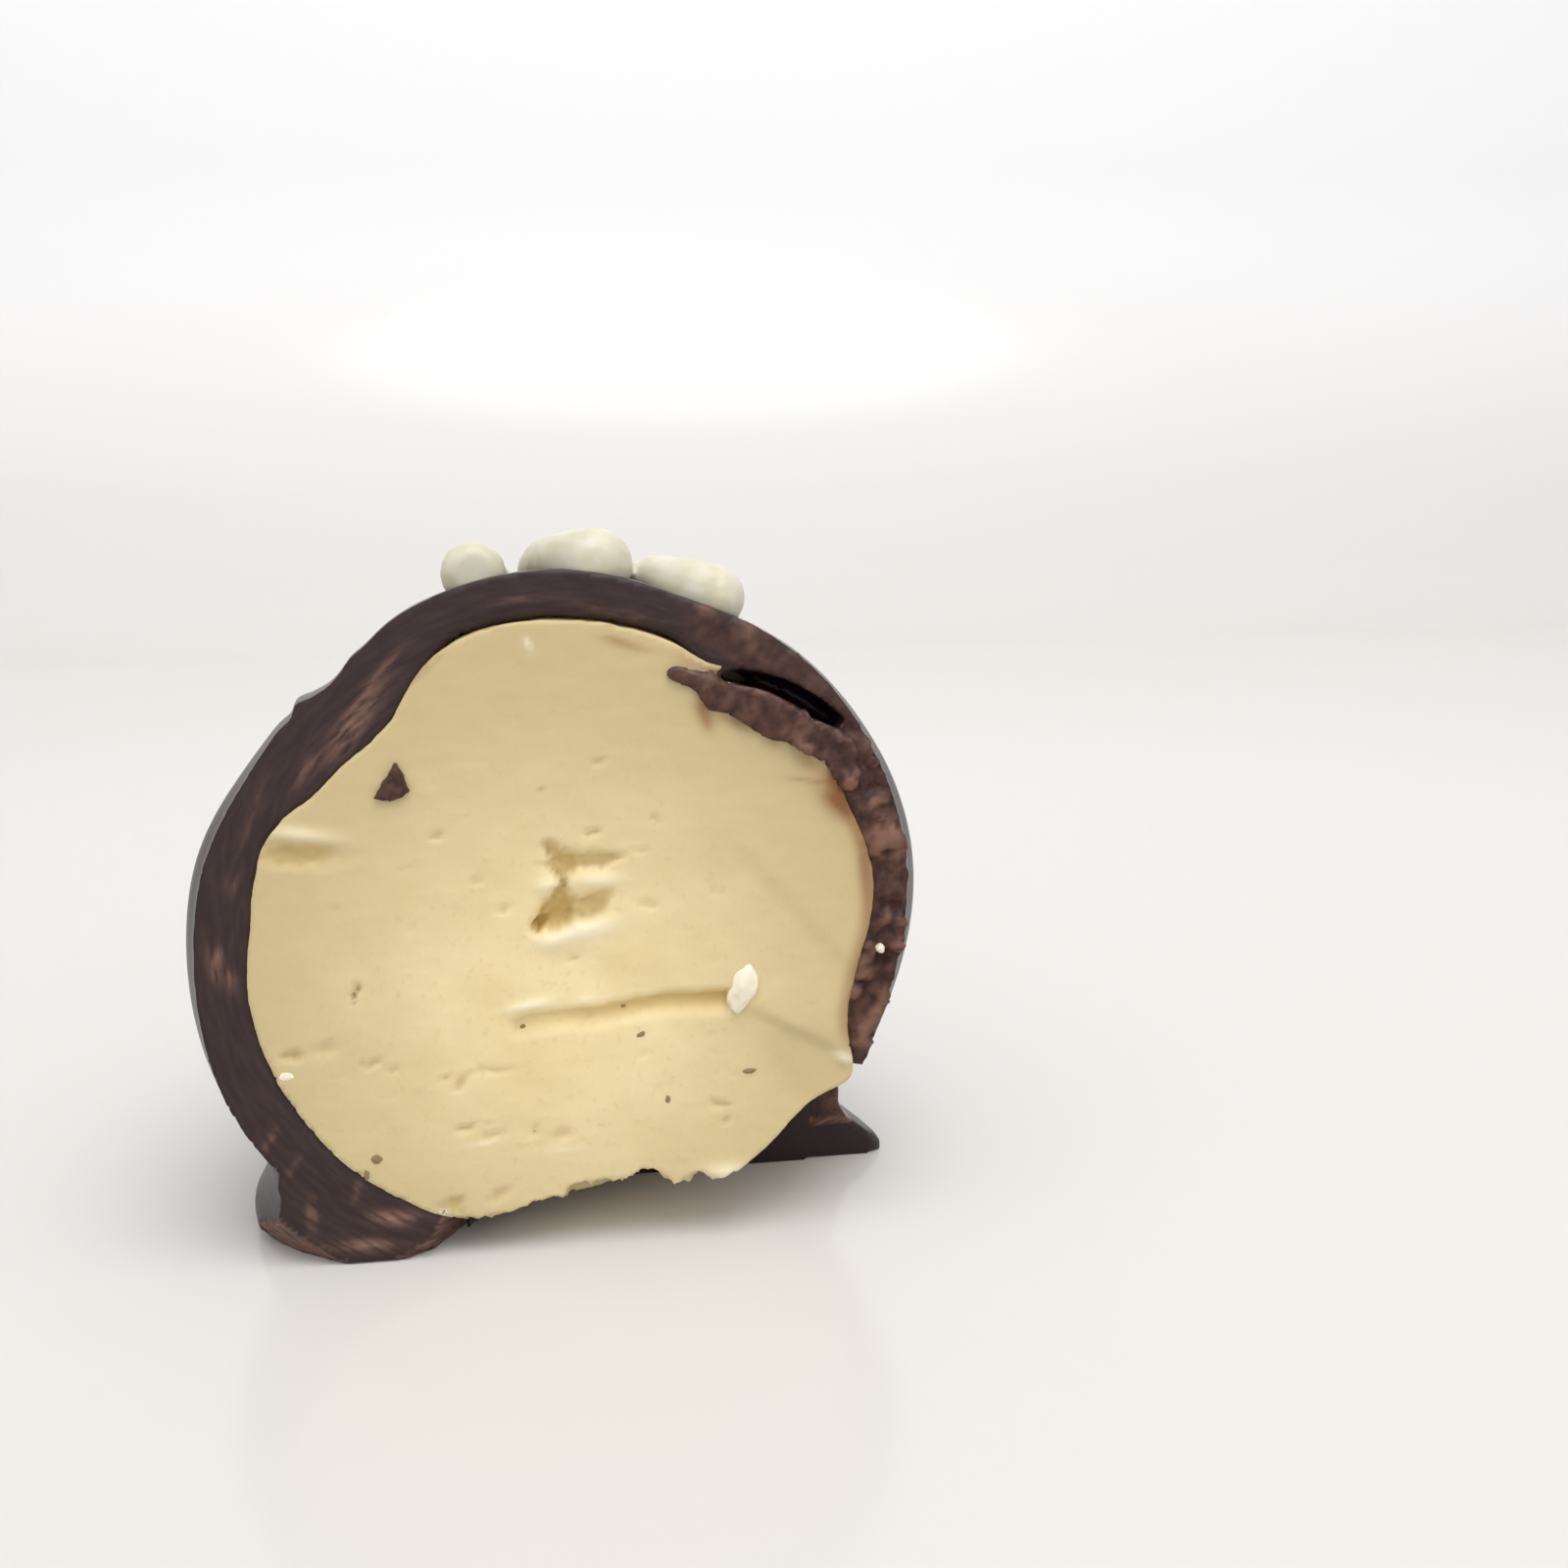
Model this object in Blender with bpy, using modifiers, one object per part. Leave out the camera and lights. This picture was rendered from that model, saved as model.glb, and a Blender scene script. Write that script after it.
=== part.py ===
"""A bourbon ball cut open: a dark chocolate shell with a poured foot and a white chocolate drizzle, round a
fondant centre. Metres, +Z up, -Y towards the cut face, origin on the flat base. Lengths are written in mm."""
import math

import bmesh
import bpy
from mathutils import Matrix, Vector

MM = 0.001
GAP = 0.3

# The ball stands on a flat base; its middle is this high, and this far in front of the origin.
BALL_RADIUS = 15.3
BALL_HEIGHT = 13.2
BALL_Y = -4.5

# The knife passed in front of the ball's middle and leaned back a little at the top.
CUT_OFFSET = 2.8
CUT_LEAN = math.radians(9.0)

# Outlines at the cut: a circle with swellings and dents, each (angle in degrees, half width, height in mm).
SHELL_CUT_RADIUS = 14.7
SHELL_BUMPS = [(10, 14, 0.25), (27, 14, 0.3), (47, 12, 0.48), (68, 7, -0.1), (86, 14, 0.35), (127, 7, -0.6),
               (144, 11, -0.5), (153, 8, -0.13), (212, 18, 0.7), (338, 18, -0.45)]
CENTRE_RADIUS = 13.3
CENTRE_CUT_RADIUS = 13.0
CENTRE_BUMPS = [(9, 9, 0.45), (42, 9, 1.15), (59, 4, -0.35), (126, 8, -0.25), (131, 11, -1.7), (148, 7, -0.9),
                (173, 10, -0.45), (225, 25, 0.2), (284, 6, -1.8), (330.5, 4, 1.1), (347, 8, -0.3)]
CENTRE_BOTTOM = 1.3

# The outlines fade into plain balls behind the cut, between these heights out of the ball's middle.
SHELL_FADE = (-12.0, -2.0)
CENTRE_FADE = (-9.0, CUT_OFFSET)

# Just behind the cut the shell bulges a little beyond its outline at its sides, and draws in at its top.
SIDE_BULGE = 0.65
TOP_BULGE = -0.15
BULGE_START = 0.6

# The foot, as height and radius down its outer side, and its swellings round the ball in degrees: those of
# its lower edge, where the chocolate ran out thin, and those of its whole height. The higher the flare, the
# thinner the lower edge.
FOOT_PROFILE = [(4.7, 0.0), (4.7, 11.9), (4.3, 12.55), (3.6, 12.8), (2.8, 12.7), (1.9, 12.95), (1.2, 13.35),
                (0.7, 13.35), (0.25, 12.9), (0.0, 12.4), (-0.8, 12.4), (-0.8, 0.0)]
FOOT_FLARE = 4
FOOT_LOW_SWELLS = [(8, 20, 2.6), (70, 25, 0.5), (130, 18, -0.3)]
FOOT_SWELLS = [(95, 20, 0.2), (176, 12, 0.55)]

# The base broke away under the front: the break's edge on the floor, beside and behind the ball's axis.
# Its left end leans over the floor by a shift to the right, up to the height of the undercut.
BREAK_EDGE = [(-7.5, -4.9), (-6.4, -3.2), (-4.9, -1.0), (-2.4, 0.6), (2.0, 1.1), (9.5, 1.3), (15.0, 1.7),
              (19.0, 2.0)]
BREAK_FRONT = -12.0
BREAK_BELOW = -1.0
BREAK_UNDERCUT = 1.3
BREAK_TOP = 7.2
BREAK_SHIFT = 3.1
BREAK_SHIFT_END = 4.0
BREAK_SHIFT_SPAN = 8.0

# The inner flake of the shell, and the empty split above it: outlines on the cut, mm from its middle, which
# start past the cut so that the knife trims them flush.
FLAKE_PROUD = 1.0
FLAKE = [(4.6, 10.7), (5.0, 10.3), (5.8, 10.05), (6.4, 9.1), (7.4, 8.85), (8.9, 7.8), (9.7, 7.65),
         (11.1, 6.85), (12.2, 5.6), (12.9, 5.5), (12.7, 7.2), (12.1, 8.1), (11.0, 8.6), (10.2, 9.2),
         (8.9, 9.9), (6.8, 10.4), (5.9, 10.85), (5.1, 11.1)]
FLAKE_DEPTH = 4.0
SPLIT = [(7.0, 10.6), (8.9, 9.8), (10.2, 9.1), (11.0, 8.5), (12.3, 8.0), (14.0, 8.0), (12.5, 11.0),
         (9.0, 12.8), (7.6, 11.6)]
SPLIT_DEPTH = 5.0

# Relief on the cut face of the centre: (beside, above the middle of the cut, radius, depth or height).
PITS = [(0.55, 2.85, 0.75, 1.0), (1.6, 2.8, 0.5, 0.6), (0.45, 1.95, 0.5, 0.7), (-0.15, 0.85, 0.75, 1.1),
        (0.95, 0.85, 0.6, 0.6)]
BITES = [(-2.9, -12.9, 0.7, 2.0), (-0.7, -12.6, 0.75, 2.0), (1.7, -12.3, 0.6, 2.0), (4.5, -12.2, 0.6, 2.0),
         (6.2, -12.2, 0.5, 2.0)]
CRUMBS = [(7.85, -2.5, 0.6, 0.5), (7.4, -3.25, 0.45, 0.35)]
CHIP = (-6.6, 6.4, 0.75, 0.3)
SUNK = 0.05
GROOVE = [(-2.4, -3.75), (0.0, -3.65), (3.6, -3.5), (6.6, -3.35)]
GROOVE_RADII = [0.216, 0.276, 0.336, 0.396]

# The drizzle: the legs of a zigzag over the dome, as places beside and behind the ball's axis. A leg's ends
# are round, and in front of TURN_Y the strand grows thicker towards its turn, by this share of its radius.
DRIZZLE_LEGS = [[(-3.0, 0.8), (-3.1, 3.2), (-2.7, 6.5), (-2.1, 9.3), (-1.2, 11.0)],
                [(-1.2, 11.0), (-0.4, 9.0), (-0.1, 5.5), (0.6, 2.7), (1.9, 1.0), (2.6, 0.5)],
                [(1.3, 0.4), (2.0, 1.1), (2.4, 2.9), (2.6, 6.0), (3.2, 9.2), (4.3, 10.9)],
                [(4.3, 10.9), (4.8, 8.4), (4.5, 5.2), (5.2, 2.8), (6.6, 1.3), (7.2, 0.8)],
                [(6.1, 0.6), (6.8, 1.3), (7.2, 3.3), (7.2, 6.2), (7.0, 9.0)]]
DRIZZLE_RADIUS = 1.15
DRIZZLE_LIFT = 0.35
DRIZZLE_END = 1.2
DRIZZLE_TIP = 0.15
TURN_SWELL = 0.3
TURN_Y = 3.0
TURN_SPAN = 2.5

# How finely the shapes are divided: round the cut's normal and along it, round the foot, along a curve.
SHELL_DIVISIONS = (56, 28)
CENTRE_DIVISIONS = (60, 20)
PIT_DIVISIONS = (10, 6)
CRUMB_DIVISIONS = (7, 4)
FOOT_STEPS = 40
CURVE_STEPS = 4

# A cube larger than the ball, whose face cuts, and the lengths below which points are one.
BLOCK = 60.0
WELD = 0.01


def smooth(x):
    """0 below 0, 1 above 1, and a smooth rise between."""
    x = min(max(x, 0.0), 1.0)
    return x * x * (3.0 - 2.0 * x)


def between(x, limits):
    """The smooth rise of x from one limit to the other."""
    return smooth((x - limits[0]) / (limits[1] - limits[0]))


def bumps(angle, rows):
    """The sum of an outline's swellings and dents at an angle, in degrees and mm."""
    total = 0.0
    for centre, width, height in rows:
        away = (angle - centre + 180.0) % 360.0 - 180.0
        total += height * math.exp(-0.5 * (away / width) ** 2)
    return total


def shell_radius(angle, height):
    """How far the outside of the shell is from the ball's middle; height is measured out of the cut."""
    cut = SHELL_CUT_RADIUS + bumps(angle, SHELL_BUMPS)
    bulge = TOP_BULGE + SIDE_BULGE * math.cos(math.radians(angle)) ** 4
    front = math.hypot(cut, CUT_OFFSET) + bulge * (1.0 - between(height, (BULGE_START, CUT_OFFSET)))
    return BALL_RADIUS + (front - BALL_RADIUS) * between(height, SHELL_FADE)


def centre_radius(angle, height):
    """How far the outside of the centre is from the ball's middle."""
    cut = CENTRE_CUT_RADIUS + bumps(angle, CENTRE_BUMPS)
    front = math.hypot(cut, CUT_OFFSET)
    return CENTRE_RADIUS + (front - CENTRE_RADIUS) * between(height, CENTRE_FADE)


def cut_frame():
    """From the cut's own axes (beside, up the cut, out of the cut) at the ball's middle to the world."""
    sin, cos = math.sin(CUT_LEAN), math.cos(CUT_LEAN)
    axes = Matrix(((1, 0, 0), (0, sin, -cos), (0, cos, sin)))
    return Matrix.Translation(Vector((0, BALL_Y, BALL_HEIGHT)) * MM) @ axes.to_4x4()


def catmull(points, steps):
    """Points along a smooth curve through the given points."""
    ends = [points[0]] + points + [points[-1]]
    result = []
    for knots in zip(ends, ends[1:], ends[2:], ends[3:]):
        before, start, end, after = (Vector(knot) for knot in knots)
        for step in range(steps):
            t = step / steps
            straight = 2 * start + (end - before) * t
            bend = (2 * before - 5 * start + 4 * end - after) * t ** 2
            twist = (3 * start - before - 3 * end + after) * t ** 3
            result.append(0.5 * (straight + bend + twist))
    result.append(Vector(points[-1]))
    return result


def new_collection(name):
    made = bpy.data.collections.new(name)
    bpy.context.scene.collection.children.link(made)
    return made


def new_object(name, bm, collection):
    """A mesh object that takes over a bmesh."""
    mesh = bpy.data.meshes.new(name)
    bm.to_mesh(mesh)
    bm.free()
    obj = bpy.data.objects.new(name, mesh)
    collection.objects.link(obj)
    return obj


def as_mesh(obj, name, collection):
    """A welded mesh object from a curve or from an object with modifiers, which goes."""
    bpy.context.view_layer.update()
    evaluated = obj.evaluated_get(bpy.context.evaluated_depsgraph_get())
    mesh = bpy.data.meshes.new_from_object(evaluated)
    mesh.transform(obj.matrix_world)
    bm = bmesh.new()
    bm.from_mesh(mesh)
    bmesh.ops.remove_doubles(bm, verts=bm.verts, dist=WELD * MM)
    bmesh.ops.recalc_face_normals(bm, faces=bm.faces)
    bpy.data.meshes.remove(mesh)
    bpy.data.objects.remove(obj, do_unlink=True)
    return new_object(name, bm, collection)


def as_cutter(obj):
    """A cutter is drawn as wires and isn't part of the model."""
    obj.hide_render = True
    obj.display_type = "WIRE"
    return obj


def combine(obj, operation, other):
    """Cuts or joins an object for good: by one cutter, which stays, or by a whole collection, which goes."""
    whole = isinstance(other, bpy.types.Collection)
    modifier = obj.modifiers.new("Combine", "BOOLEAN")
    modifier.operation = operation
    modifier.solver = "EXACT"
    if whole:
        modifier.operand_type = "COLLECTION"
        modifier.collection = other
    else:
        modifier.object = other
    bpy.context.view_layer.update()
    evaluated = obj.evaluated_get(bpy.context.evaluated_depsgraph_get())
    mesh = bpy.data.meshes.new_from_object(evaluated)
    obj.modifiers.clear()
    obj.data = mesh
    if whole:
        for used in list(other.objects):
            bpy.data.objects.remove(used, do_unlink=True)
        bpy.data.collections.remove(other)


def round_body(name, radius_at, grow, divisions, collection):
    """A ball whose pole looks out of the cut and whose radius follows radius_at(angle, height)."""
    bm = bmesh.new()
    bmesh.ops.create_uvsphere(bm, u_segments=divisions[0], v_segments=divisions[1], radius=1.0)
    for vertex in bm.verts:
        direction = vertex.co.normalized()
        angle = math.degrees(math.atan2(direction.y, direction.x))
        radius = radius_at(angle, direction.z * BALL_RADIUS) + grow
        vertex.co = direction * radius * MM
    bm.transform(cut_frame())
    return new_object(name, bm, collection)


def block(name, centre, collection, frame=Matrix()):
    """A cutter larger than the ball, of which one face cuts."""
    bm = bmesh.new()
    bmesh.ops.create_cube(bm, size=BLOCK * MM)
    bmesh.ops.translate(bm, vec=Vector(centre) * MM, verts=bm.verts)
    bm.transform(frame)
    return as_cutter(new_object(name, bm, collection))


def blob(name, place, radii, divisions, collection):
    """A squashed ball on the cut face: place and radii along the cut's own axes."""
    bm = bmesh.new()
    bmesh.ops.create_uvsphere(bm, u_segments=divisions[0], v_segments=divisions[1], radius=1.0)
    bmesh.ops.scale(bm, vec=Vector(radii) * MM, verts=bm.verts)
    bmesh.ops.translate(bm, vec=Vector(place) * MM, verts=bm.verts)
    bm.transform(cut_frame())
    return new_object(name, bm, collection)


def plate(name, outline, near, far, collection):
    """A flat outline on the cut, extruded along the cut's normal between two heights."""
    curve = bpy.data.curves.new(name, "CURVE")
    curve.dimensions = "2D"
    curve.fill_mode = "BOTH"
    curve.extrude = (near - far) / 2.0 * MM
    spline = curve.splines.new("POLY")
    spline.points.add(len(outline) - 1)
    for point, (beside, above) in zip(spline.points, outline):
        point.co = (beside * MM, above * MM, 0.0, 1.0)
    spline.use_cyclic_u = True
    obj = bpy.data.objects.new(name + "_outline", curve)
    collection.objects.link(obj)
    obj.matrix_world = cut_frame() @ Matrix.Translation((0, 0, (near + far) / 2.0 * MM))
    return as_mesh(obj, name, collection)


def grown(outline, distance):
    """The outline moved outwards by a distance, each corner along the mean of its two sides' normals."""
    result = []
    for index, corner in enumerate(outline):
        here = Vector(corner)
        first = (here - Vector(outline[index - 1])).normalized()
        second = (Vector(outline[(index + 1) % len(outline)]) - here).normalized()
        outward = Vector((first.y + second.y, -first.x - second.x)).normalized()
        result.append(here + outward * distance)
    return result


def tube(name, places, radii, collection, frame=Matrix(), resolution=2):
    """A round strand through places, with its own radius at each."""
    curve = bpy.data.curves.new(name, "CURVE")
    curve.dimensions = "3D"
    curve.bevel_depth = MM
    curve.bevel_resolution = resolution
    curve.use_fill_caps = True
    spline = curve.splines.new("POLY")
    spline.points.add(len(places) - 1)
    for point, place, radius in zip(spline.points, places, radii):
        point.co = (*(Vector(place) * MM), 1.0)
        point.radius = radius
    obj = bpy.data.objects.new(name + "_curve", curve)
    collection.objects.link(obj)
    obj.matrix_world = frame
    return as_mesh(obj, name, collection)


def foot(collection):
    """The poured foot: a turned profile, swollen where the chocolate ran further out."""
    bm = bmesh.new()
    profile = [bm.verts.new((radius * MM, 0.0, height * MM)) for height, radius in FOOT_PROFILE]
    for upper, lower in zip(profile, profile[1:]):
        bm.edges.new((upper, lower))
    obj = new_object("foot_profile", bm, collection)
    screw = obj.modifiers.new("Turn", "SCREW")
    screw.steps = FOOT_STEPS
    screw.render_steps = FOOT_STEPS
    screw.use_merge_vertices = True
    screw.merge_threshold = WELD * MM
    turned = as_mesh(obj, "foot", collection)
    top = FOOT_PROFILE[0][0] * MM
    for vertex in turned.data.vertices:
        radius = math.hypot(vertex.co.x, vertex.co.y)
        if radius < MM:
            continue
        angle = math.degrees(math.atan2(vertex.co.y, vertex.co.x))
        low = 1.0 - min(max(vertex.co.z / top, 0.0), 1.0)
        swell = bumps(angle, FOOT_SWELLS) * min(1.0, 2.0 * low)
        swell += bumps(angle, FOOT_LOW_SWELLS) * low ** FOOT_FLARE
        vertex.co.x *= 1.0 + swell * MM / radius
        vertex.co.y *= 1.0 + swell * MM / radius
    turned.data.transform(Matrix.Translation((0, BALL_Y * MM, 0)))


def drizzle_leg(path, collection):
    """One leg of the white strand, laid over the dome."""
    middle = Vector((0, BALL_Y, BALL_HEIGHT))
    to_cut = cut_frame().to_3x3().inverted()
    places = []
    for x, y in catmull(path, CURVE_STEPS):
        direction = Vector((x, y, math.sqrt(BALL_RADIUS ** 2 - x * x - y * y))).normalized()
        local = to_cut @ direction
        angle = math.degrees(math.atan2(local.y, local.x))
        places.append(middle + direction * (shell_radius(angle, local.z * BALL_RADIUS) + DRIZZLE_LIFT))
    along = [0.0]
    for first, second in zip(places, places[1:]):
        along.append(along[-1] + (second - first).length)
    radii = []
    for place, length in zip(places, along):
        turn = smooth((TURN_Y - place.y + BALL_Y) / TURN_SPAN)
        rounding = min(1.0, (min(length, along[-1] - length) + DRIZZLE_TIP) / DRIZZLE_END)
        radii.append(DRIZZLE_RADIUS * (1.0 + TURN_SWELL * turn) * math.sqrt(1.0 - (1.0 - rounding) ** 2))
    tube("drizzle_leg", places, radii, collection)


def break_prism(collection):
    """What is missing under the front: a prism whose left wall leans, so that the base ends undercut."""
    corners = BREAK_EDGE + [(BREAK_EDGE[-1][0], BREAK_FRONT), (BREAK_EDGE[0][0], BREAK_FRONT)]
    bm = bmesh.new()
    face = bm.faces.new([bm.verts.new((x * MM, (y + BALL_Y) * MM, BREAK_BELOW * MM)) for x, y in corners])
    for level in (BREAK_UNDERCUT, BREAK_TOP):
        made = bmesh.ops.extrude_face_region(bm, geom=[face])["geom"]
        if level == BREAK_TOP:
            bmesh.ops.delete(bm, geom=[face], context="FACES_ONLY")
        face = next(item for item in made if isinstance(item, bmesh.types.BMFace))
        for vertex in face.verts:
            if level == BREAK_UNDERCUT:
                shift = smooth((BREAK_SHIFT_END - vertex.co.x / MM) / BREAK_SHIFT_SPAN)
                vertex.co.x += BREAK_SHIFT * MM * shift
            vertex.co.z = level * MM
    bmesh.ops.recalc_face_normals(bm, faces=bm.faces)
    return as_cutter(new_object("break_prism", bm, collection))


def chocolate_shell(parts, cutters):
    """The shell with its foot, drizzle and inner flake, hollow where the centre sits."""
    shell = round_body("chocolate_shell", shell_radius, 0.0, SHELL_DIVISIONS, parts)
    outside = new_collection("outside")
    foot(outside)
    for path in DRIZZLE_LEGS:
        drizzle_leg(path, outside)
    combine(shell, "UNION", outside)
    cavity = as_cutter(round_body("cavity", centre_radius, GAP / 2.0, CENTRE_DIVISIONS, cutters))
    below_cavity = block("below_cavity", (0, 0, CENTRE_BOTTOM - GAP - BLOCK / 2.0), cutters)
    combine(cavity, "DIFFERENCE", below_cavity)
    combine(shell, "DIFFERENCE", cavity)
    inside = new_collection("inside")
    plate("flake", FLAKE, CUT_OFFSET + FLAKE_PROUD, CUT_OFFSET - FLAKE_DEPTH, inside)
    combine(shell, "UNION", inside)
    return shell


def fondant_centre(parts):
    """The filling, without the room of the flake and the split."""
    centre = round_body("fondant_centre", centre_radius, -GAP / 2.0, CENTRE_DIVISIONS, parts)
    away = new_collection("flake_room")
    block("below_centre", (0, 0, CENTRE_BOTTOM - BLOCK / 2.0), away)
    far = CUT_OFFSET - FLAKE_DEPTH - GAP
    as_cutter(plate("flake_slot", grown(FLAKE, GAP), CUT_OFFSET + FLAKE_PROUD, far, away))
    combine(centre, "DIFFERENCE", away)
    split = new_collection("split_room")
    as_cutter(plate("split", SPLIT, CUT_OFFSET + FLAKE_PROUD, CUT_OFFSET - SPLIT_DEPTH, split))
    combine(centre, "DIFFERENCE", split)
    return centre


def cut_open(shell, centre, cutters):
    """The knife's cut, the flat base and the broken underside."""
    knife = block("knife", (0, 0, CUT_OFFSET + BLOCK / 2.0), cutters, cut_frame())
    combine(shell, "DIFFERENCE", knife)
    combine(centre, "DIFFERENCE", knife)
    combine(shell, "DIFFERENCE", block("below_base", (0, 0, -BLOCK / 2.0), cutters))
    combine(shell, "DIFFERENCE", break_prism(cutters))


def face_relief(centre):
    """Pits, a groove, crumbs and a chocolate chip on the cut face, and bites out of its lower edge."""
    hollows = new_collection("hollows")
    for beside, above, radius, depth in PITS + BITES:
        as_cutter(blob("pit", (beside, above, CUT_OFFSET), (radius, radius, depth), PIT_DIVISIONS, hollows))
    places = [(beside, above, CUT_OFFSET) for beside, above in GROOVE]
    as_cutter(tube("groove", places, GROOVE_RADII, hollows, cut_frame(), 1))
    combine(centre, "DIFFERENCE", hollows)
    proud = new_collection("proud")
    for beside, above, radius, height in CRUMBS + [CHIP]:
        blob("crumb", (beside, above, CUT_OFFSET - SUNK), (radius, radius, height), CRUMB_DIVISIONS, proud)
    combine(centre, "UNION", proud)


def finish(obj, name, colour, roughness):
    """The material of a part, with its colour in linear light, and smooth shading up to real edges."""
    made = bpy.data.materials.new(name)
    made.use_nodes = True
    shader = made.node_tree.nodes["Principled BSDF"]
    shader.inputs["Base Color"].default_value = (*colour, 1.0)
    shader.inputs["Roughness"].default_value = roughness
    shader.inputs["Metallic"].default_value = 0.0
    made.diffuse_color = (*colour, 1.0)
    obj.data.materials.clear()
    obj.data.materials.append(made)
    obj.data.shade_smooth()
    obj.data.set_sharp_from_angle(angle=math.radians(35.0))


def main():
    for obj in list(bpy.data.objects):
        bpy.data.objects.remove(obj, do_unlink=True)
    parts = new_collection("bourbon_ball")
    cutters = new_collection("cutters")
    shell = chocolate_shell(parts, cutters)
    centre = fondant_centre(parts)
    cut_open(shell, centre, cutters)
    face_relief(centre)
    finish(shell, "dark_chocolate", (0.070, 0.044, 0.038), 0.4)
    finish(centre, "fondant", (0.775, 0.624, 0.342), 0.6)


main()
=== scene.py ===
# %% [markdown]
# # A bourbon ball, cut open
# A bourbon ball is a ball of soft fondant, dipped in dark chocolate so that a thin shell sets round it and runs
# out into a foot where it stands, and then drizzled with white chocolate. This one was cut open with a knife.
# The solids are loaded first. They fix every size, and the finer forms below are made to fit them.

# %% Load the solids
import math

import bpy
import numpy as np
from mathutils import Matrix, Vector, noise


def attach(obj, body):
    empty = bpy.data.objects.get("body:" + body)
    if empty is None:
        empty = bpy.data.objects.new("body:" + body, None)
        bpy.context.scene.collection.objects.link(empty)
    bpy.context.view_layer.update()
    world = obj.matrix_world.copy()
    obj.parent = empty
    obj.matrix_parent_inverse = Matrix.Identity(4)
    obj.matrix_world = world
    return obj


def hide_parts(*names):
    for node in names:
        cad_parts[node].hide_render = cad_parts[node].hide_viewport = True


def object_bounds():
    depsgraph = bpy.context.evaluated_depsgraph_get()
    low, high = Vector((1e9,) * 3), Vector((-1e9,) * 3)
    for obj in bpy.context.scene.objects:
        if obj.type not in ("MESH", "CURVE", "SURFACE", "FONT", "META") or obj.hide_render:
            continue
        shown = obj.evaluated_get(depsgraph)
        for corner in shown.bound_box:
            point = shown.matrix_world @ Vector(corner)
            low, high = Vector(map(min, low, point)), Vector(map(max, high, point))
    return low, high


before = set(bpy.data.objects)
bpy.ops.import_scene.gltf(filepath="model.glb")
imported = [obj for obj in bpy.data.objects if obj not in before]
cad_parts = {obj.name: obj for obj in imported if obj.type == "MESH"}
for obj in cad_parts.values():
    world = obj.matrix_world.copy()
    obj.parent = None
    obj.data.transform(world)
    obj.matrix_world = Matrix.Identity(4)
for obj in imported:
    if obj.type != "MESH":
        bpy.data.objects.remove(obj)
cad_box = [list(corner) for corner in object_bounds()]
print("box of the solids", cad_box)

# %% [markdown]
# ## Helpers
# All lengths below are in millimetres and become metres at the last moment. Every piece is shaped as by hand:
# a primitive is added, changed and finished with applied modifiers. A few small helpers keep that short, and
# numpy moves many points at once.

# %% Helpers for objects, modifiers and points
MM = 0.001


def deselect():
    bpy.ops.object.select_all(action="DESELECT")


def make_active(obj):
    deselect()
    obj.select_set(True)
    bpy.context.view_layer.objects.active = obj


def apply_modifier(obj, kind, **settings):
    """Adds a modifier with these settings and applies it."""
    modifier = obj.modifiers.new(kind.title(), kind)
    for name, value in settings.items():
        setattr(modifier, name, value)
    make_active(obj)
    bpy.ops.object.modifier_apply(modifier=modifier.name)


def combine(obj, other, operation):
    """Joins or cuts an object by another one, which is used up."""
    apply_modifier(obj, "BOOLEAN", operation=operation, solver="EXACT", object=other)
    bpy.data.objects.remove(other, do_unlink=True)


def join(objects, name):
    """Makes one object of several."""
    deselect()
    for obj in objects:
        obj.select_set(True)
    bpy.context.view_layer.objects.active = objects[0]
    if len(objects) > 1:
        bpy.ops.object.join()
    objects[0].name = name
    return objects[0]


def smooth_shaded(obj):
    make_active(obj)
    bpy.ops.object.shade_smooth()
    print(obj.name, "has", len(obj.data.polygons), "faces")


def points_of(obj):
    flat = np.empty(len(obj.data.vertices) * 3)
    obj.data.vertices.foreach_get("co", flat)
    return flat.reshape(-1, 3) / MM


def set_points(obj, points):
    obj.data.vertices.foreach_set("co", (points * MM).ravel())
    obj.data.update()


def inside_box(points):
    """Nothing may stick out of the box of the solids."""
    return np.clip(points, np.array(cad_box[0]) / MM, np.array(cad_box[1]) / MM)


def normals_of(obj):
    flat = np.empty(len(obj.data.vertices) * 3)
    obj.data.vertex_normals.foreach_get("vector", flat)
    return flat.reshape(-1, 3)


def set_mask(obj, name, values):
    """Keeps one number a point, which a material can read by its name."""
    layer = obj.data.attributes.new(name, "FLOAT", "POINT")
    layer.data.foreach_set("value", np.clip(values, 0.0, 1.0))


def smooth(x):
    """0 below 0, 1 above 1, and a smooth rise between."""
    x = np.clip(x, 0.0, 1.0)
    return x * x * (3.0 - 2.0 * x)


def between(x, low, high):
    return smooth((x - low) / (high - low))


def rough(points, size, octaves=3):
    """Noise from about -1 to 1 whose lumps are about this many mm across; size may differ by direction."""
    scaled = points / np.array(size)
    return np.array([noise.fractal(Vector(point), 1.0, 2.0, octaves) for point in scaled])


# %% [markdown]
# ## The knife's cut
# Nearly all that shows lies on one flat cut, so it gets its own axes: beside, up along the cut and out of it,
# from the middle of the ball. It leans back 9 degrees.

# %% Axes of the cut
MIDDLE = np.array((0.0, -4.5, 13.2))
CUT_OFFSET = 2.8
CUT_LEAN = math.radians(9.0)
OUT = np.array((0.0, -math.cos(CUT_LEAN), math.sin(CUT_LEAN)))
CUT_AXES = np.array(((1.0, 0.0, 0.0), (0.0, math.sin(CUT_LEAN), math.cos(CUT_LEAN)), OUT))


def to_cut(points):
    return (points - MIDDLE) @ CUT_AXES.T


def from_cut(local):
    return np.asarray(local) @ CUT_AXES + MIDDLE


# %% [markdown]
# ## Camera
# The camera stands where the photographer's did: close, a little above the sweet and turned a little past it.

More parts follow.
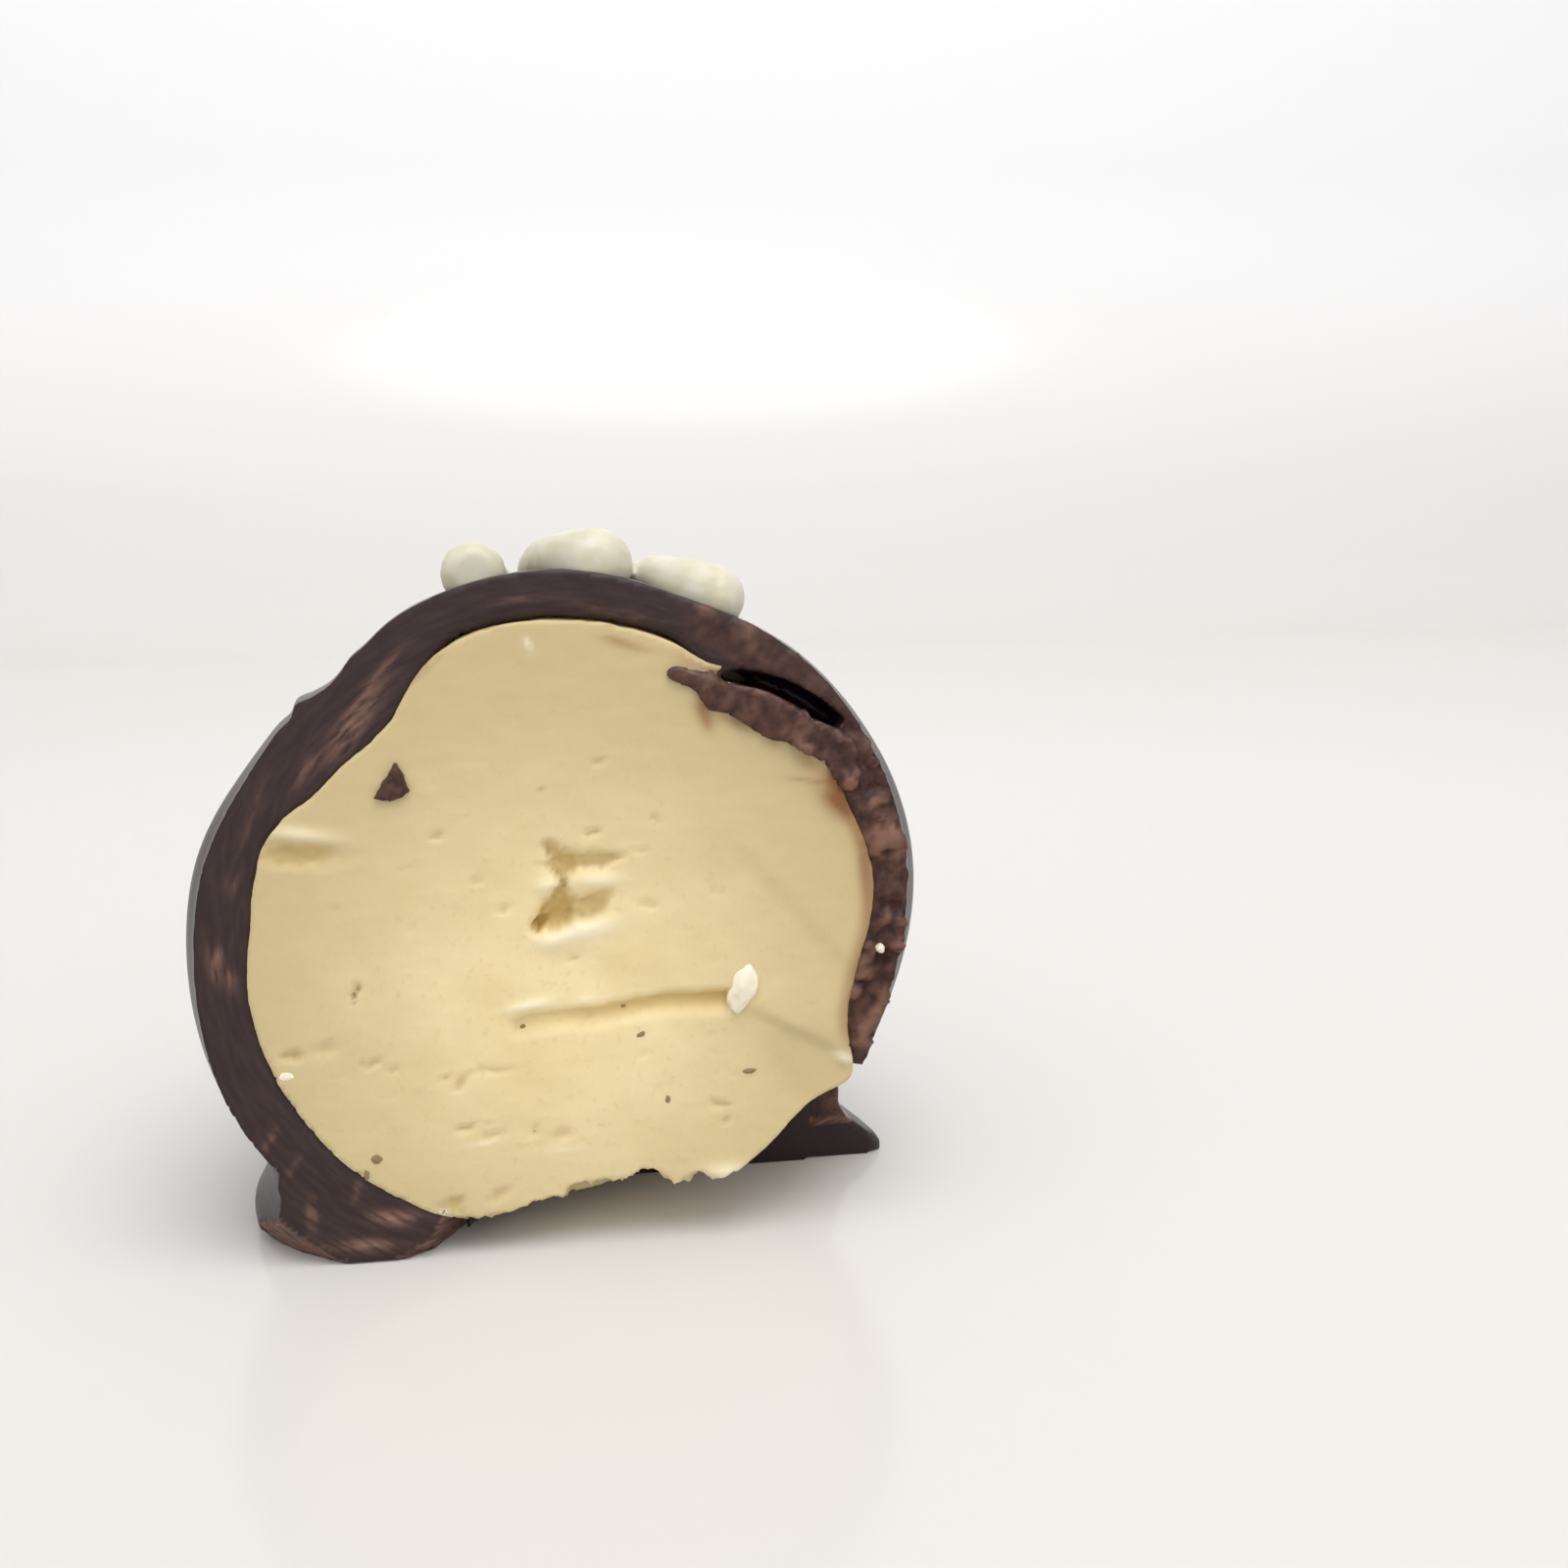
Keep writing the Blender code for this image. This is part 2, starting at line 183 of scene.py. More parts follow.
# %% Camera
CAMERA_PLACE = (0.0, -73.567, 38.338)
CAMERA_PITCH = math.radians(15.5447)
CAMERA_YAW = math.radians(8.1059)

deselect()
bpy.ops.object.camera_add(location=[length * MM for length in CAMERA_PLACE],
                          rotation=(math.pi / 2.0 - CAMERA_PITCH, 0.0, -CAMERA_YAW))
camera = bpy.context.active_object
camera.data.sensor_width = 36.0
camera.data.lens = 38.25
camera.data.clip_start = 0.001
bpy.context.scene.camera = camera
bpy.context.scene.view_settings.view_transform = "Standard"

# %% [markdown]
# ## Colours and nodes
# Colours are written as in an image program and turned to linear light by one function. One more function adds
# a node with its settings and links, so that each material reads as a short list.

# %% Colour and node helpers


def linear(code):
    """A hex sRGB colour as linear red, green, blue and alpha."""
    parts = [int(code[start:start + 2], 16) / 255.0 for start in (1, 3, 5)]
    return tuple(c / 12.92 if c <= 0.04045 else ((c + 0.055) / 1.055) ** 2.4 for c in parts) + (1.0,)


def add(tree, kind, inputs, out=0, **settings):
    """Adds a node with its settings; each input is a value or another node's output. Returns one output."""
    node = tree.nodes.new(kind)
    for name, value in settings.items():
        setattr(node, name, value)
    for socket, value in inputs.items():
        if isinstance(value, bpy.types.NodeSocket):
            tree.links.new(value, node.inputs[socket])
        else:
            node.inputs[socket].default_value = value
    return node.outputs[out]


MIX, NOISE, RANGE, MASK = "ShaderNodeMix", "ShaderNodeTexNoise", "ShaderNodeMapRange", "ShaderNodeAttribute"
COLOURS = {"data_type": "RGBA", "out": 2}
FIRST, SECOND = 6, 7


def new_material(name):
    made = bpy.data.materials.new(name)
    made.use_nodes = True
    return made, made.node_tree, made.node_tree.nodes["Principled BSDF"]


# %% [markdown]
# ## Floor and light
# The floor is a pale sheet that rises softly into a wall far behind. Light comes from all round, as in a light
# tent, with one large soft lamp above, and a second lamp that only brightens the wall.

# %% Floor
SHEET_HALF_WIDTH = 1500.0
SHEET_FRONT = -900.0
SHEET_BACK = 185.0
WALL_HEIGHT = 900.0
WALL_RADIUS = 60.0

deselect()
bpy.ops.mesh.primitive_plane_add(size=2.0 * MM)
sheet = bpy.context.active_object
sheet.name = "floor_sheet"
corners = points_of(sheet)
corners[:, 0] *= SHEET_HALF_WIDTH
corners[:, 1] = np.where(corners[:, 1] > 0.0, SHEET_BACK, SHEET_FRONT)
set_points(sheet, corners)
for edge in sheet.data.edges:
    edge.select = min(sheet.data.vertices[index].co.y for index in edge.vertices) > 0.0
for vertex in sheet.data.vertices:
    vertex.select = vertex.co.y > 0.0
for face in sheet.data.polygons:
    face.select = False
bpy.ops.object.mode_set(mode="EDIT")
bpy.ops.mesh.extrude_region_move(TRANSFORM_OT_translate={"value": (0.0, 0.0, WALL_HEIGHT * MM)})
bpy.ops.object.mode_set(mode="OBJECT")
apply_modifier(sheet, "BEVEL", width=WALL_RADIUS * MM, segments=24)
smooth_shaded(sheet)

paper, tree, shader = new_material("glazed_white")
place = add(tree, "ShaderNodeTexCoord", {}, "Object")
height = add(tree, "ShaderNodeSeparateXYZ", {"Vector": place}, "Z")
risen = add(tree, RANGE, {"Value": height, "From Max": WALL_RADIUS * MM}, interpolation_type="SMOOTHSTEP")
tone = add(tree, MIX, {0: risen, FIRST: linear("#d3d0cc"), SECOND: linear("#efefef")}, **COLOURS)
tree.links.new(tone, shader.inputs["Base Color"])
shader.inputs["Roughness"].default_value = 0.16
shader.inputs["Specular IOR Level"].default_value = 0.32
sheet.data.materials.append(paper)

# %% Light
WORLD_STRENGTH = 0.97
KEY_PLACE = Vector((50.0, -70.0, 330.0))
KEY_POWER = 0.5
WALL_LAMP_PLACE = Vector((0.0, 60.0, 300.0))
WALL_LAMP_POWER = 0.2

world = bpy.data.worlds.new("light_tent")
bpy.context.scene.world = world
world.use_nodes = True
sky = world.node_tree.nodes["Background"]
sky.inputs["Color"].default_value = linear("#fbfbfd")
sky.inputs["Strength"].default_value = WORLD_STRENGTH


def soft_lamp(name, place, target, size, power):
    """A large round lamp at a place, which looks at a target."""
    deselect()
    turn = (target - place).to_track_quat("-Z", "Y").to_euler()
    bpy.ops.object.light_add(type="AREA", location=place * MM, rotation=turn)
    lamp = bpy.context.active_object
    lamp.name = name
    lamp.data.shape = "DISK"
    lamp.data.size = size * MM
    lamp.data.energy = power


soft_lamp("key_lamp", KEY_PLACE, Vector((0.0, -5.0, 13.0)), 260.0, KEY_POWER)
soft_lamp("wall_lamp", WALL_LAMP_PLACE, Vector((0.0, 250.0, 150.0)), 400.0, WALL_LAMP_POWER)

# %% [markdown]
# ## Forms of the shell and the centre
# Both are balls whose outline at the cut swells and dents a little. A swelling is written as its angle round
# the cut, its half width and its height. Behind the cut the outlines fade into plain balls. The fondant's lower
# edge is torn, so that stretch is a list of its own: the angle and how far the edge is from the middle.

# %% Outlines
BALL_RADIUS = 15.3
SHELL_CUT_RADIUS = 14.7
SHELL_BUMPS = [(10, 14, 0.25), (27, 14, 0.3), (47, 12, 0.48), (68, 7, -0.1), (86, 14, 0.35), (127, 7, -0.6),
               (144, 11, -0.5), (153, 8, -0.13), (212, 18, 0.7), (338, 18, -0.45)]
SHELL_STEPS = [(124.5, 1.5, 0.1), (130.5, 2.0, -0.1), (136.2, 1.1, 0.18), (138.8, 1.2, -0.08)]
CENTRE_RADIUS = 13.3
CENTRE_CUT_RADIUS = 13.0
CENTRE_BUMPS = [(9, 9, 0.45), (42, 9, 1.15), (59, 4, -0.35), (126, 8, -0.25), (131, 11, -1.7), (148, 7, -0.9),
                (173, 10, -0.45), (225, 25, 0.2), (284, 6, -1.8), (330.5, 4, 1.1), (347, 8, -0.3)]
CENTRE_BOTTOM = 1.3
TORN_EDGE = [(244, 13.2), (251, 12.9), (257.5, 12.2), (263, 11.65), (268.5, 11.5), (270.5, 10.95), (276, 10.95),
             (282.5, 11.05), (286.5, 10.9), (289, 11.0), (289.6, 11.7), (292, 12.1), (295, 12.2), (297.3, 12.1),
             (298.3, 12.75), (300.5, 12.95), (304, 13.05)]
TORN_DEPTH = 4.5
SIDE_BULGE = 0.65
TOP_BULGE = -0.15
BULGE_START = 0.6

# The shell reaches this far under the centre's edge, where they stick together, but for a crack at the top.
STICK = 0.2
CRACK = 0.13


def bumps(angle, rows):
    """The sum of an outline's swellings and dents at an angle, in degrees and mm."""
    total = np.zeros_like(angle)
    for centre, width, height in rows:
        away = (angle - centre + 180.0) % 360.0 - 180.0
        total += height * np.exp(-0.5 * (away / width) ** 2)
    return total


def shell_radius(angle, height):
    cut = SHELL_CUT_RADIUS + bumps(angle, SHELL_BUMPS + SHELL_STEPS)
    bulge = TOP_BULGE + SIDE_BULGE * np.cos(np.radians(angle)) ** 4
    front = np.hypot(cut, CUT_OFFSET) + bulge * (1.0 - between(height, BULGE_START, CUT_OFFSET))
    return BALL_RADIUS + (front - BALL_RADIUS) * between(height, -12.0, -2.0)


def centre_radius(angle, height):
    front = np.hypot(CENTRE_CUT_RADIUS + bumps(angle, CENTRE_BUMPS), CUT_OFFSET)
    return CENTRE_RADIUS + (front - CENTRE_RADIUS) * between(height, -9.0, CUT_OFFSET)


def ragged_centre(angle, height):
    """The centre's outline with its fine unevenness and its torn lower edge."""
    turned = angle % 360.0
    round_it = np.stack((np.cos(np.radians(angle)), np.sin(np.radians(angle)), height / BALL_RADIUS), axis=1)
    whole = centre_radius(angle, height) + rough(round_it * CENTRE_RADIUS, 1.3) * 0.06
    edge = np.array(TORN_EDGE)
    torn = np.hypot(np.interp(turned, edge[:, 0], edge[:, 1]), CUT_OFFSET)
    torn += rough(round_it * CENTRE_RADIUS, 0.9) * 0.2 + rough(round_it * CENTRE_RADIUS, 0.4) * 0.32
    low = between(turned, 244.0, 249.0) * (1.0 - between(turned, 301.0, 304.0))
    return whole + (torn - whole) * low * between(height, CUT_OFFSET - TORN_DEPTH, CUT_OFFSET - 0.4)


def cavity_radius(angle, height):
    top = between(angle, 60.0, 68.0) * (1.0 - between(angle, 108.0, 116.0)) * between(height, -1.0, 1.5)
    return centre_radius(angle, height) - STICK + (STICK + CRACK) * top


# %% [markdown]
# ## Tools for the round bodies
# The bodies start as a sphere whose pole looks out of the cut. After a voxel remesh its points lie close to the
# true surface but not on it, so those near the round surface or the cut are settled onto it, which keeps the
# knife's edge sharp.

# %% Round bodies, blocks and plates


def round_body(name, radius_at, segments, rings):
    """A ball with its radius from radius_at(angle, height)."""
    deselect()
    bpy.ops.mesh.primitive_uv_sphere_add(segments=segments, ring_count=rings, radius=MM,
                                         rotation=(math.pi / 2.0 - CUT_LEAN, 0.0, 0.0))
    body = bpy.context.active_object
    body.name = name
    bpy.ops.object.transform_apply(location=True, rotation=True, scale=True)
    direction = points_of(body)
    local = direction @ CUT_AXES.T
    angle = np.degrees(np.arctan2(local[:, 1], local[:, 0]))
    set_points(body, MIDDLE + direction * radius_at(angle, local[:, 2] * BALL_RADIUS)[:, None])
    return body


def settle(points, radius_at, reach):
    """Points within reach of a round surface or of the cut move onto it."""
    local = to_cut(points)
    distance = np.linalg.norm(local, axis=1)
    angle = np.degrees(np.arctan2(local[:, 1], local[:, 0]))
    wanted = radius_at(angle, local[:, 2] / distance * BALL_RADIUS)
    local = local * np.where(np.abs(wanted - distance) < reach, wanted / distance, 1.0)[:, None]
    local[:, 2] = np.where(np.abs(local[:, 2] - CUT_OFFSET) < reach, CUT_OFFSET, local[:, 2])
    return from_cut(local)


BLOCK = 60.0


def block(centre, leaning=False):
    """A cube larger than the ball, whose one face cuts."""
    deselect()
    bpy.ops.mesh.primitive_cube_add(size=BLOCK * MM, location=[length * MM for length in centre],
                                    rotation=(math.pi / 2.0 - CUT_LEAN if leaning else 0.0, 0.0, 0.0))
    cutter = bpy.context.active_object
    bpy.ops.object.transform_apply(location=True, rotation=True, scale=True)
    return cutter


def knife():
    return block(from_cut((0.0, 0.0, CUT_OFFSET + BLOCK / 2.0)), leaning=True)


def outline_plate(name, outline, near, far):
    """A flat outline on the cut, with a thickness from far to near."""
    deselect()
    bpy.ops.mesh.primitive_circle_add(vertices=len(outline), radius=MM, fill_type="NGON")
    plate = bpy.context.active_object
    plate.name = name
    set_points(plate, from_cut([(beside, above, far) for beside, above in outline]))
    bpy.ops.object.mode_set(mode="EDIT")
    bpy.ops.mesh.select_all(action="SELECT")
    bpy.ops.mesh.extrude_region_move(TRANSFORM_OT_translate={"value": tuple(OUT * (near - far) * MM)})
    bpy.ops.mesh.select_all(action="SELECT")
    bpy.ops.mesh.normals_make_consistent(inside=False)
    bpy.ops.object.mode_set(mode="OBJECT")
    return plate


# %% [markdown]
# ## The foot
# Warm chocolate runs down and sets in a ring where the sweet stands. A turned profile gives that ring, and it
# is pulled out where more chocolate ran.

# %% Foot
FOOT_PROFILE = [(4.7, 0.0), (4.7, 11.9), (4.3, 12.55), (3.6, 12.8), (2.8, 12.7), (1.9, 12.95), (1.2, 13.35),
                (0.7, 13.35), (0.25, 12.9), (0.0, 12.4), (-0.8, 12.4), (-0.8, 0.0)]
FOOT_FLARE = 4
FOOT_LOW_SWELLS = [(8, 20, 2.6), (70, 25, 0.5), (130, 18, -0.3)]
FOOT_SWELLS = [(95, 20, 0.2), (176, 12, 0.55)]
FOOT_STEPS = 120


def foot():
    mesh = bpy.data.meshes.new("foot")
    profile = [(radius * MM, 0.0, height * MM) for height, radius in FOOT_PROFILE]
    mesh.from_pydata(profile, [(index, index + 1) for index in range(len(profile) - 1)], [])
    ring = bpy.data.objects.new("foot", mesh)
    bpy.context.scene.collection.objects.link(ring)
    apply_modifier(ring, "SCREW", steps=FOOT_STEPS, render_steps=FOOT_STEPS, use_merge_vertices=True,
                   merge_threshold=0.00001)
    points = points_of(ring)
    radius = np.maximum(np.hypot(points[:, 0], points[:, 1]), 0.001)
    angle = np.degrees(np.arctan2(points[:, 1], points[:, 0]))
    low = 1.0 - np.clip(points[:, 2] / FOOT_PROFILE[0][0], 0.0, 1.0)
    swell = bumps(angle, FOOT_SWELLS) * np.minimum(1.0, 2.0 * low)
    swell += bumps(angle, FOOT_LOW_SWELLS) * low ** FOOT_FLARE
    points[:, :2] *= np.where(radius > 1.0, 1.0 + swell / radius, 1.0)[:, None]
    points[:, 1] += MIDDLE[1]
    set_points(ring, points)
    return ring


# %% [markdown]
# ## The broken base
# Under the front the shell's base broke away with the cut, so the fondant overhangs there. A prism with a
# leaning left wall takes that piece out.

# %% Break under the front
BREAK_EDGE = [(-7.5, -4.9), (-6.4, -3.2), (-4.9, -1.0), (-2.4, 0.6), (2.0, 1.1), (9.5, 1.3), (15.0, 1.7),
              (19.0, 2.0)]
BREAK_FRONT = -12.0
BREAK_BELOW = -1.0
BREAK_UNDERCUT = 1.3
BREAK_TOP = 7.2
BREAK_SHIFT = 3.1


def break_prism():
    corners = BREAK_EDGE + [(BREAK_EDGE[-1][0], BREAK_FRONT), (BREAK_EDGE[0][0], BREAK_FRONT)]
    deselect()
    bpy.ops.mesh.primitive_circle_add(vertices=len(corners), radius=MM, fill_type="NGON")
    prism = bpy.context.active_object
    set_points(prism, np.array([(x, y + MIDDLE[1], BREAK_BELOW) for x, y in corners]))
    bpy.ops.object.mode_set(mode="EDIT")
    bpy.ops.mesh.select_all(action="SELECT")
    rise = (BREAK_UNDERCUT - BREAK_BELOW) * MM
    bpy.ops.mesh.extrude_region_move(TRANSFORM_OT_translate={"value": (0.0, 0.0, rise)})
    bpy.ops.object.mode_set(mode="OBJECT")
    points = points_of(prism)
    points[:, 0] += np.where(points[:, 2] > 0.0, BREAK_SHIFT * smooth((4.0 - points[:, 0]) / 8.0), 0.0)
    set_points(prism, points)
    bpy.ops.object.mode_set(mode="EDIT")
    rise = (BREAK_TOP - BREAK_UNDERCUT) * MM
    bpy.ops.mesh.extrude_region_move(TRANSFORM_OT_translate={"value": (0.0, 0.0, rise)})
    bpy.ops.mesh.select_all(action="SELECT")
    bpy.ops.mesh.normals_make_consistent(inside=False)
    bpy.ops.object.mode_set(mode="OBJECT")
    return prism


# %% [markdown]
# ## The shell
# Ball, foot and inner flake are joined and hollowed, then cut by the knife, the table and the break. At the upper
# right the shell split, and an empty room opened between its outer skin and the flake. A voxel remesh gives even
# small faces that can carry scrapes and lumps as real relief.

# %% Shell
FLAKE = [(4.6, 10.7), (5.0, 10.3), (5.8, 10.05), (6.4, 9.1), (7.4, 8.85), (8.9, 7.8), (9.7, 7.65),
         (11.1, 6.85), (12.2, 5.6), (12.9, 5.5), (12.7, 7.2), (12.1, 8.1), (11.0, 8.6), (10.2, 9.2),
         (8.9, 9.9), (6.8, 10.4), (5.9, 10.85), (5.1, 11.1)]
FLAKE_DEPTH = 4.0
FLAKE_PROUD = 0.3
SPLIT_ROOM = [(7.4, 10.6), (8.0, 10.1), (8.9, 9.7), (9.7, 9.3), (10.8, 8.6), (12.0, 8.1), (12.4, 8.25),
              (12.2, 8.6), (11.3, 9.4), (10.5, 9.9), (9.7, 10.3), (8.7, 10.6), (7.9, 10.75)]
SPLIT_ROOM_DEPTH = 3.6
SHELL_VOXEL = 0.22

shell = round_body("chocolate_shell_skin", shell_radius, 240, 100)
combine(shell, foot(), "UNION")
cavity = round_body("cavity", cavity_radius, 180, 60)
combine(cavity, block((0.0, 0.0, CENTRE_BOTTOM - BLOCK / 2.0)), "DIFFERENCE")
combine(shell, cavity, "DIFFERENCE")
combine(shell, knife(), "DIFFERENCE")
room = outline_plate("split_room", SPLIT_ROOM, CUT_OFFSET + 1.0, CUT_OFFSET - SPLIT_ROOM_DEPTH)
combine(shell, room, "DIFFERENCE")
flake = outline_plate("flake", FLAKE, CUT_OFFSET + FLAKE_PROUD, CUT_OFFSET - FLAKE_DEPTH)
combine(shell, flake, "UNION")
combine(shell, block((0.0, 0.0, -BLOCK / 2.0)), "DIFFERENCE")
combine(shell, break_prism(), "DIFFERENCE")
apply_modifier(shell, "REMESH", mode="VOXEL", voxel_size=SHELL_VOXEL * MM)
for surface in (shell_radius, cavity_radius):
    set_points(shell, settle(points_of(shell), surface, SHELL_VOXEL * 0.55))

# %% [markdown]
# ## Regions of the shell
# The surface was worked in several ways, so the points are sorted first, each region by a soft mask from 0 to 1:
# the flat cut, the seam to the fondant, the broken right wall, the flake, and the right end of the foot with its
# broken facet and its ridge.

# %% Regions of the shell
points = points_of(shell)
normals = normals_of(shell)
beside, above, out = to_cut(points).T
facing = normals @ OUT
on_cut = between(facing, 0.6, 0.9) * between(out, CUT_OFFSET - 0.35, CUT_OFFSET - 0.15)
turned = np.degrees(np.arctan2(above, beside))
past_cavity = np.linalg.norm(to_cut(points), axis=1) - cavity_radius(turned, out)
seam = (1.0 - between(past_cavity, 0.15, 0.45)) * between(out, 1.9, 2.5)
right_wall = between(beside, 9.5, 11.0) * between(above, -7.0, -5.0) * (1.0 - between(above, 7.5, 9.5))
in_flake = between(beside, 4.3, 4.8) * between(above, 5.0, 6.0) * (np.hypot(beside, above) < 13.6)
in_flake *= out > CUT_OFFSET + 0.1
upper_wall = between(beside, 5.0, 6.5) * between(above, 7.0, 8.0) * between(np.hypot(beside, above), 13.3, 13.6)

x, y, z = points.T
right_end = (x > 9.0) * (y < -1.5) * (z < 4.8) * (out < 0.0)
facet = right_end * between(x, 11.3, 11.7) * (1.0 - between(x, 13.2, 13.35)) * between(z, 1.9, 2.05)
facet_rim = right_end * (x > 11.3) * (x < 13.5) * (z > 1.75) * (
    np.exp(-((z - 1.98) / 0.16) ** 2) + np.exp(-((x - 13.28) / 0.16) ** 2))
past_ridge = right_end * np.maximum(x - 13.45 - (2.5 - z) * 0.43, 0.0)
print("points on the cut", int(on_cut.sum()), "and on the broken wall", int((right_wall * on_cut).sum()))

# %% [markdown]
# ## Relief of the shell
# The knife drags the chocolate along the shell, so its scrapes run round the ring. The right wall broke rather
# than cut, and is lumpy. The fondant laps over the shell's inner edge, so the shell is sunk a little there. The
# left corner of the foot broke off aslant over the floor.

# %% Shell relief
BASE_EDGE = [(-14.6, -5.2), (-13.6, -6.2), (-11.8, -7.8), (-9.6, -9.3), (-8.6, -9.45), (-7.6, -9.4), (-6.0, -8.7),
             (-4.45, -6.4)]
BASE_SLOPE = 0.75
BASE_TOP = 3.0
SEAM_SINK = 0.2
SCRAPE_DEPTH = 0.02
LUMP_HEIGHT = 0.04
WALL_LUMPS = 0.5
WALL_GRAIN = 0.3
FLAKE_LUMPS = 0.2
RIPPLE_HEIGHT = 0.05
FACET_DEPTH = 0.25

ring = np.radians(turned % 360.0) * SHELL_CUT_RADIUS
along = np.stack((ring, np.hypot(beside, above), out), axis=1)
scrapes = rough(along, (1.2, 0.4, 0.6)) * SCRAPE_DEPTH
lumps = rough(points, 0.9) * LUMP_HEIGHT
broken = rough(points, 1.1) * WALL_LUMPS + rough(points, 0.5) * WALL_GRAIN
lumps += broken * np.maximum(right_wall, 0.4 * upper_wall)
lumps += rough(points, 0.7) * FLAKE_LUMPS * in_flake
ripple = rough(points, 7.0, 2) * RIPPLE_HEIGHT
sunk = seam * (1.0 - in_flake)
lift = on_cut * (scrapes + lumps) * (1.0 - sunk) + (1.0 - on_cut) * ripple
lift = np.where(in_flake > 0.0, np.maximum(lift, -0.15), lift) * between(z, 0.1, 0.6)
points = points + normals * lift[:, None] - OUT * SEAM_SINK * sunk[:, None]
points[:, 1] -= FACET_DEPTH * facet - 0.8 * past_ridge
base_edge = np.array(BASE_EDGE)
base_front = np.interp(x, base_edge[:, 0], base_edge[:, 1]) - BASE_SLOPE * z
chamfered = (x < BASE_EDGE[-1][0]) * (z < BASE_TOP) * (points[:, 1] < base_front)
crumbled = rough(points, 0.6) * 0.12 * chamfered
points[:, 1] = np.where(chamfered, base_front + crumbled, points[:, 1])
set_points(shell, inside_box(points))
print("relief of the shell from", round(lift.min(), 2), "to", round(lift.max(), 2), "mm")

# %% [markdown]
# ## Where the shell is smeared, and a painted highlight
# The knife wiped sugar and fat over the chocolate, which dried to pinkish brown streaks. They are soft ovals on
# the cut: place, half sizes, turn in degrees and strength. Three thin ones along the flake's top edge are a
# painted highlight, not smears. The rims of the foot's broken facet and its broken corner take the same lighter
# colour.

# %% Shell masks
# The ovals at (5.6, 10.85), (8.2, 10.05) and (10.9, 8.65) are a painted highlight along the flake's top edge.
SMEARS_AND_FLAKE_HIGHLIGHT = [((-8.0, 9.1), (1.7, 0.45), 52, 0.75), ((-7.0, 10.9), (1.2, 0.16), 48, 0.5),
          ((-10.0, 7.2), (0.8, 0.2), 55, 0.5), ((-12.2, 5.5), (1.3, 0.16), 70, 0.2),
          ((-13.2, 2.6), (0.5, 0.2), 75, 0.3), ((-14.0, -0.5), (0.7, 0.3), 88, 0.8),
          ((-13.5, -1.2), (0.5, 0.2), 95, 0.6), ((-7.4, -11.9), (0.9, 0.28), -8, 1.0),
          ((-8.6, -13.0), (1.2, 0.22), -5, 0.9), ((-10.8, -11.6), (0.2, 0.7), 0, 0.55),
          ((-8.9, -10.6), (0.5, 0.15), 70, 0.35), ((-12.3, -8.2), (0.6, 0.12), 60, 0.4),
          ((-11.4, -9.4), (0.5, 0.12), 55, 0.35), ((5.6, 10.85), (0.8, 0.13), -20, 0.7),
          ((8.2, 10.05), (1.5, 0.13), -24, 0.7), ((10.9, 8.65), (1.3, 0.12), -34, 0.7),
          ((-1.0, 13.9), (1.5, 0.12), 4, 0.25), ((3.0, 13.2), (1.6, 0.12), -14, 0.3)]


def oval(u, v, centre, size, turn, power=2.0):
    """1 in the middle of an oval and 0 outside it, with a steeper side for a higher power."""
    cos, sin = math.cos(math.radians(turn)), math.sin(math.radians(turn))
    x = (u - centre[0]) * cos + (v - centre[1]) * sin
    y = (v - centre[1]) * cos - (u - centre[0]) * sin
    return np.exp(-(np.sqrt((x / size[0]) ** 2 + (y / size[1]) ** 2)) ** power)


# Pinkish smears, with a painted highlight along the flake's top edge in the same mask.
smear_and_highlight = sum(strength * oval(beside, above, centre, size, turn) for centre, size, turn, strength in SMEARS_AND_FLAKE_HIGHLIGHT)
warm = np.maximum(right_wall, 0.6 * upper_wall) * on_cut
warm = np.maximum(np.maximum(warm, in_flake * between(facing, 0.2, 0.6)), facet)
set_mask(shell, "cut", np.maximum(on_cut, chamfered))
set_mask(shell, "smear_and_highlight", smear_and_highlight * on_cut + facet_rim + 0.55 * chamfered)
set_mask(shell, "warm", warm)
# Painted highlight: the tops of the lumps on the broken walls are painted lighter than their hollows.
painted_lump_highlight = between(lumps, 0.02, 0.3) * np.maximum(warm, upper_wall * on_cut)
set_mask(shell, "painted_lump_highlight", painted_lump_highlight)
layer = shell.data.attributes.new("round_ring", "FLOAT_VECTOR", "POINT")
layer.data.foreach_set("vector", (along * MM).ravel())
smooth_shaded(shell)

# %% [markdown]
# ## The fondant's face
# Fondant is sugar syrup beaten to a stiff, smooth cream. The knife leaves it almost flat, with a torn hole in the
# middle, scores that a crumb ploughed, soft creases and small tears. All of that is one relief over the cut, so
# that the crumbs and specks can be seated on it too. A score falls sharply below its upper edge and rises softly.

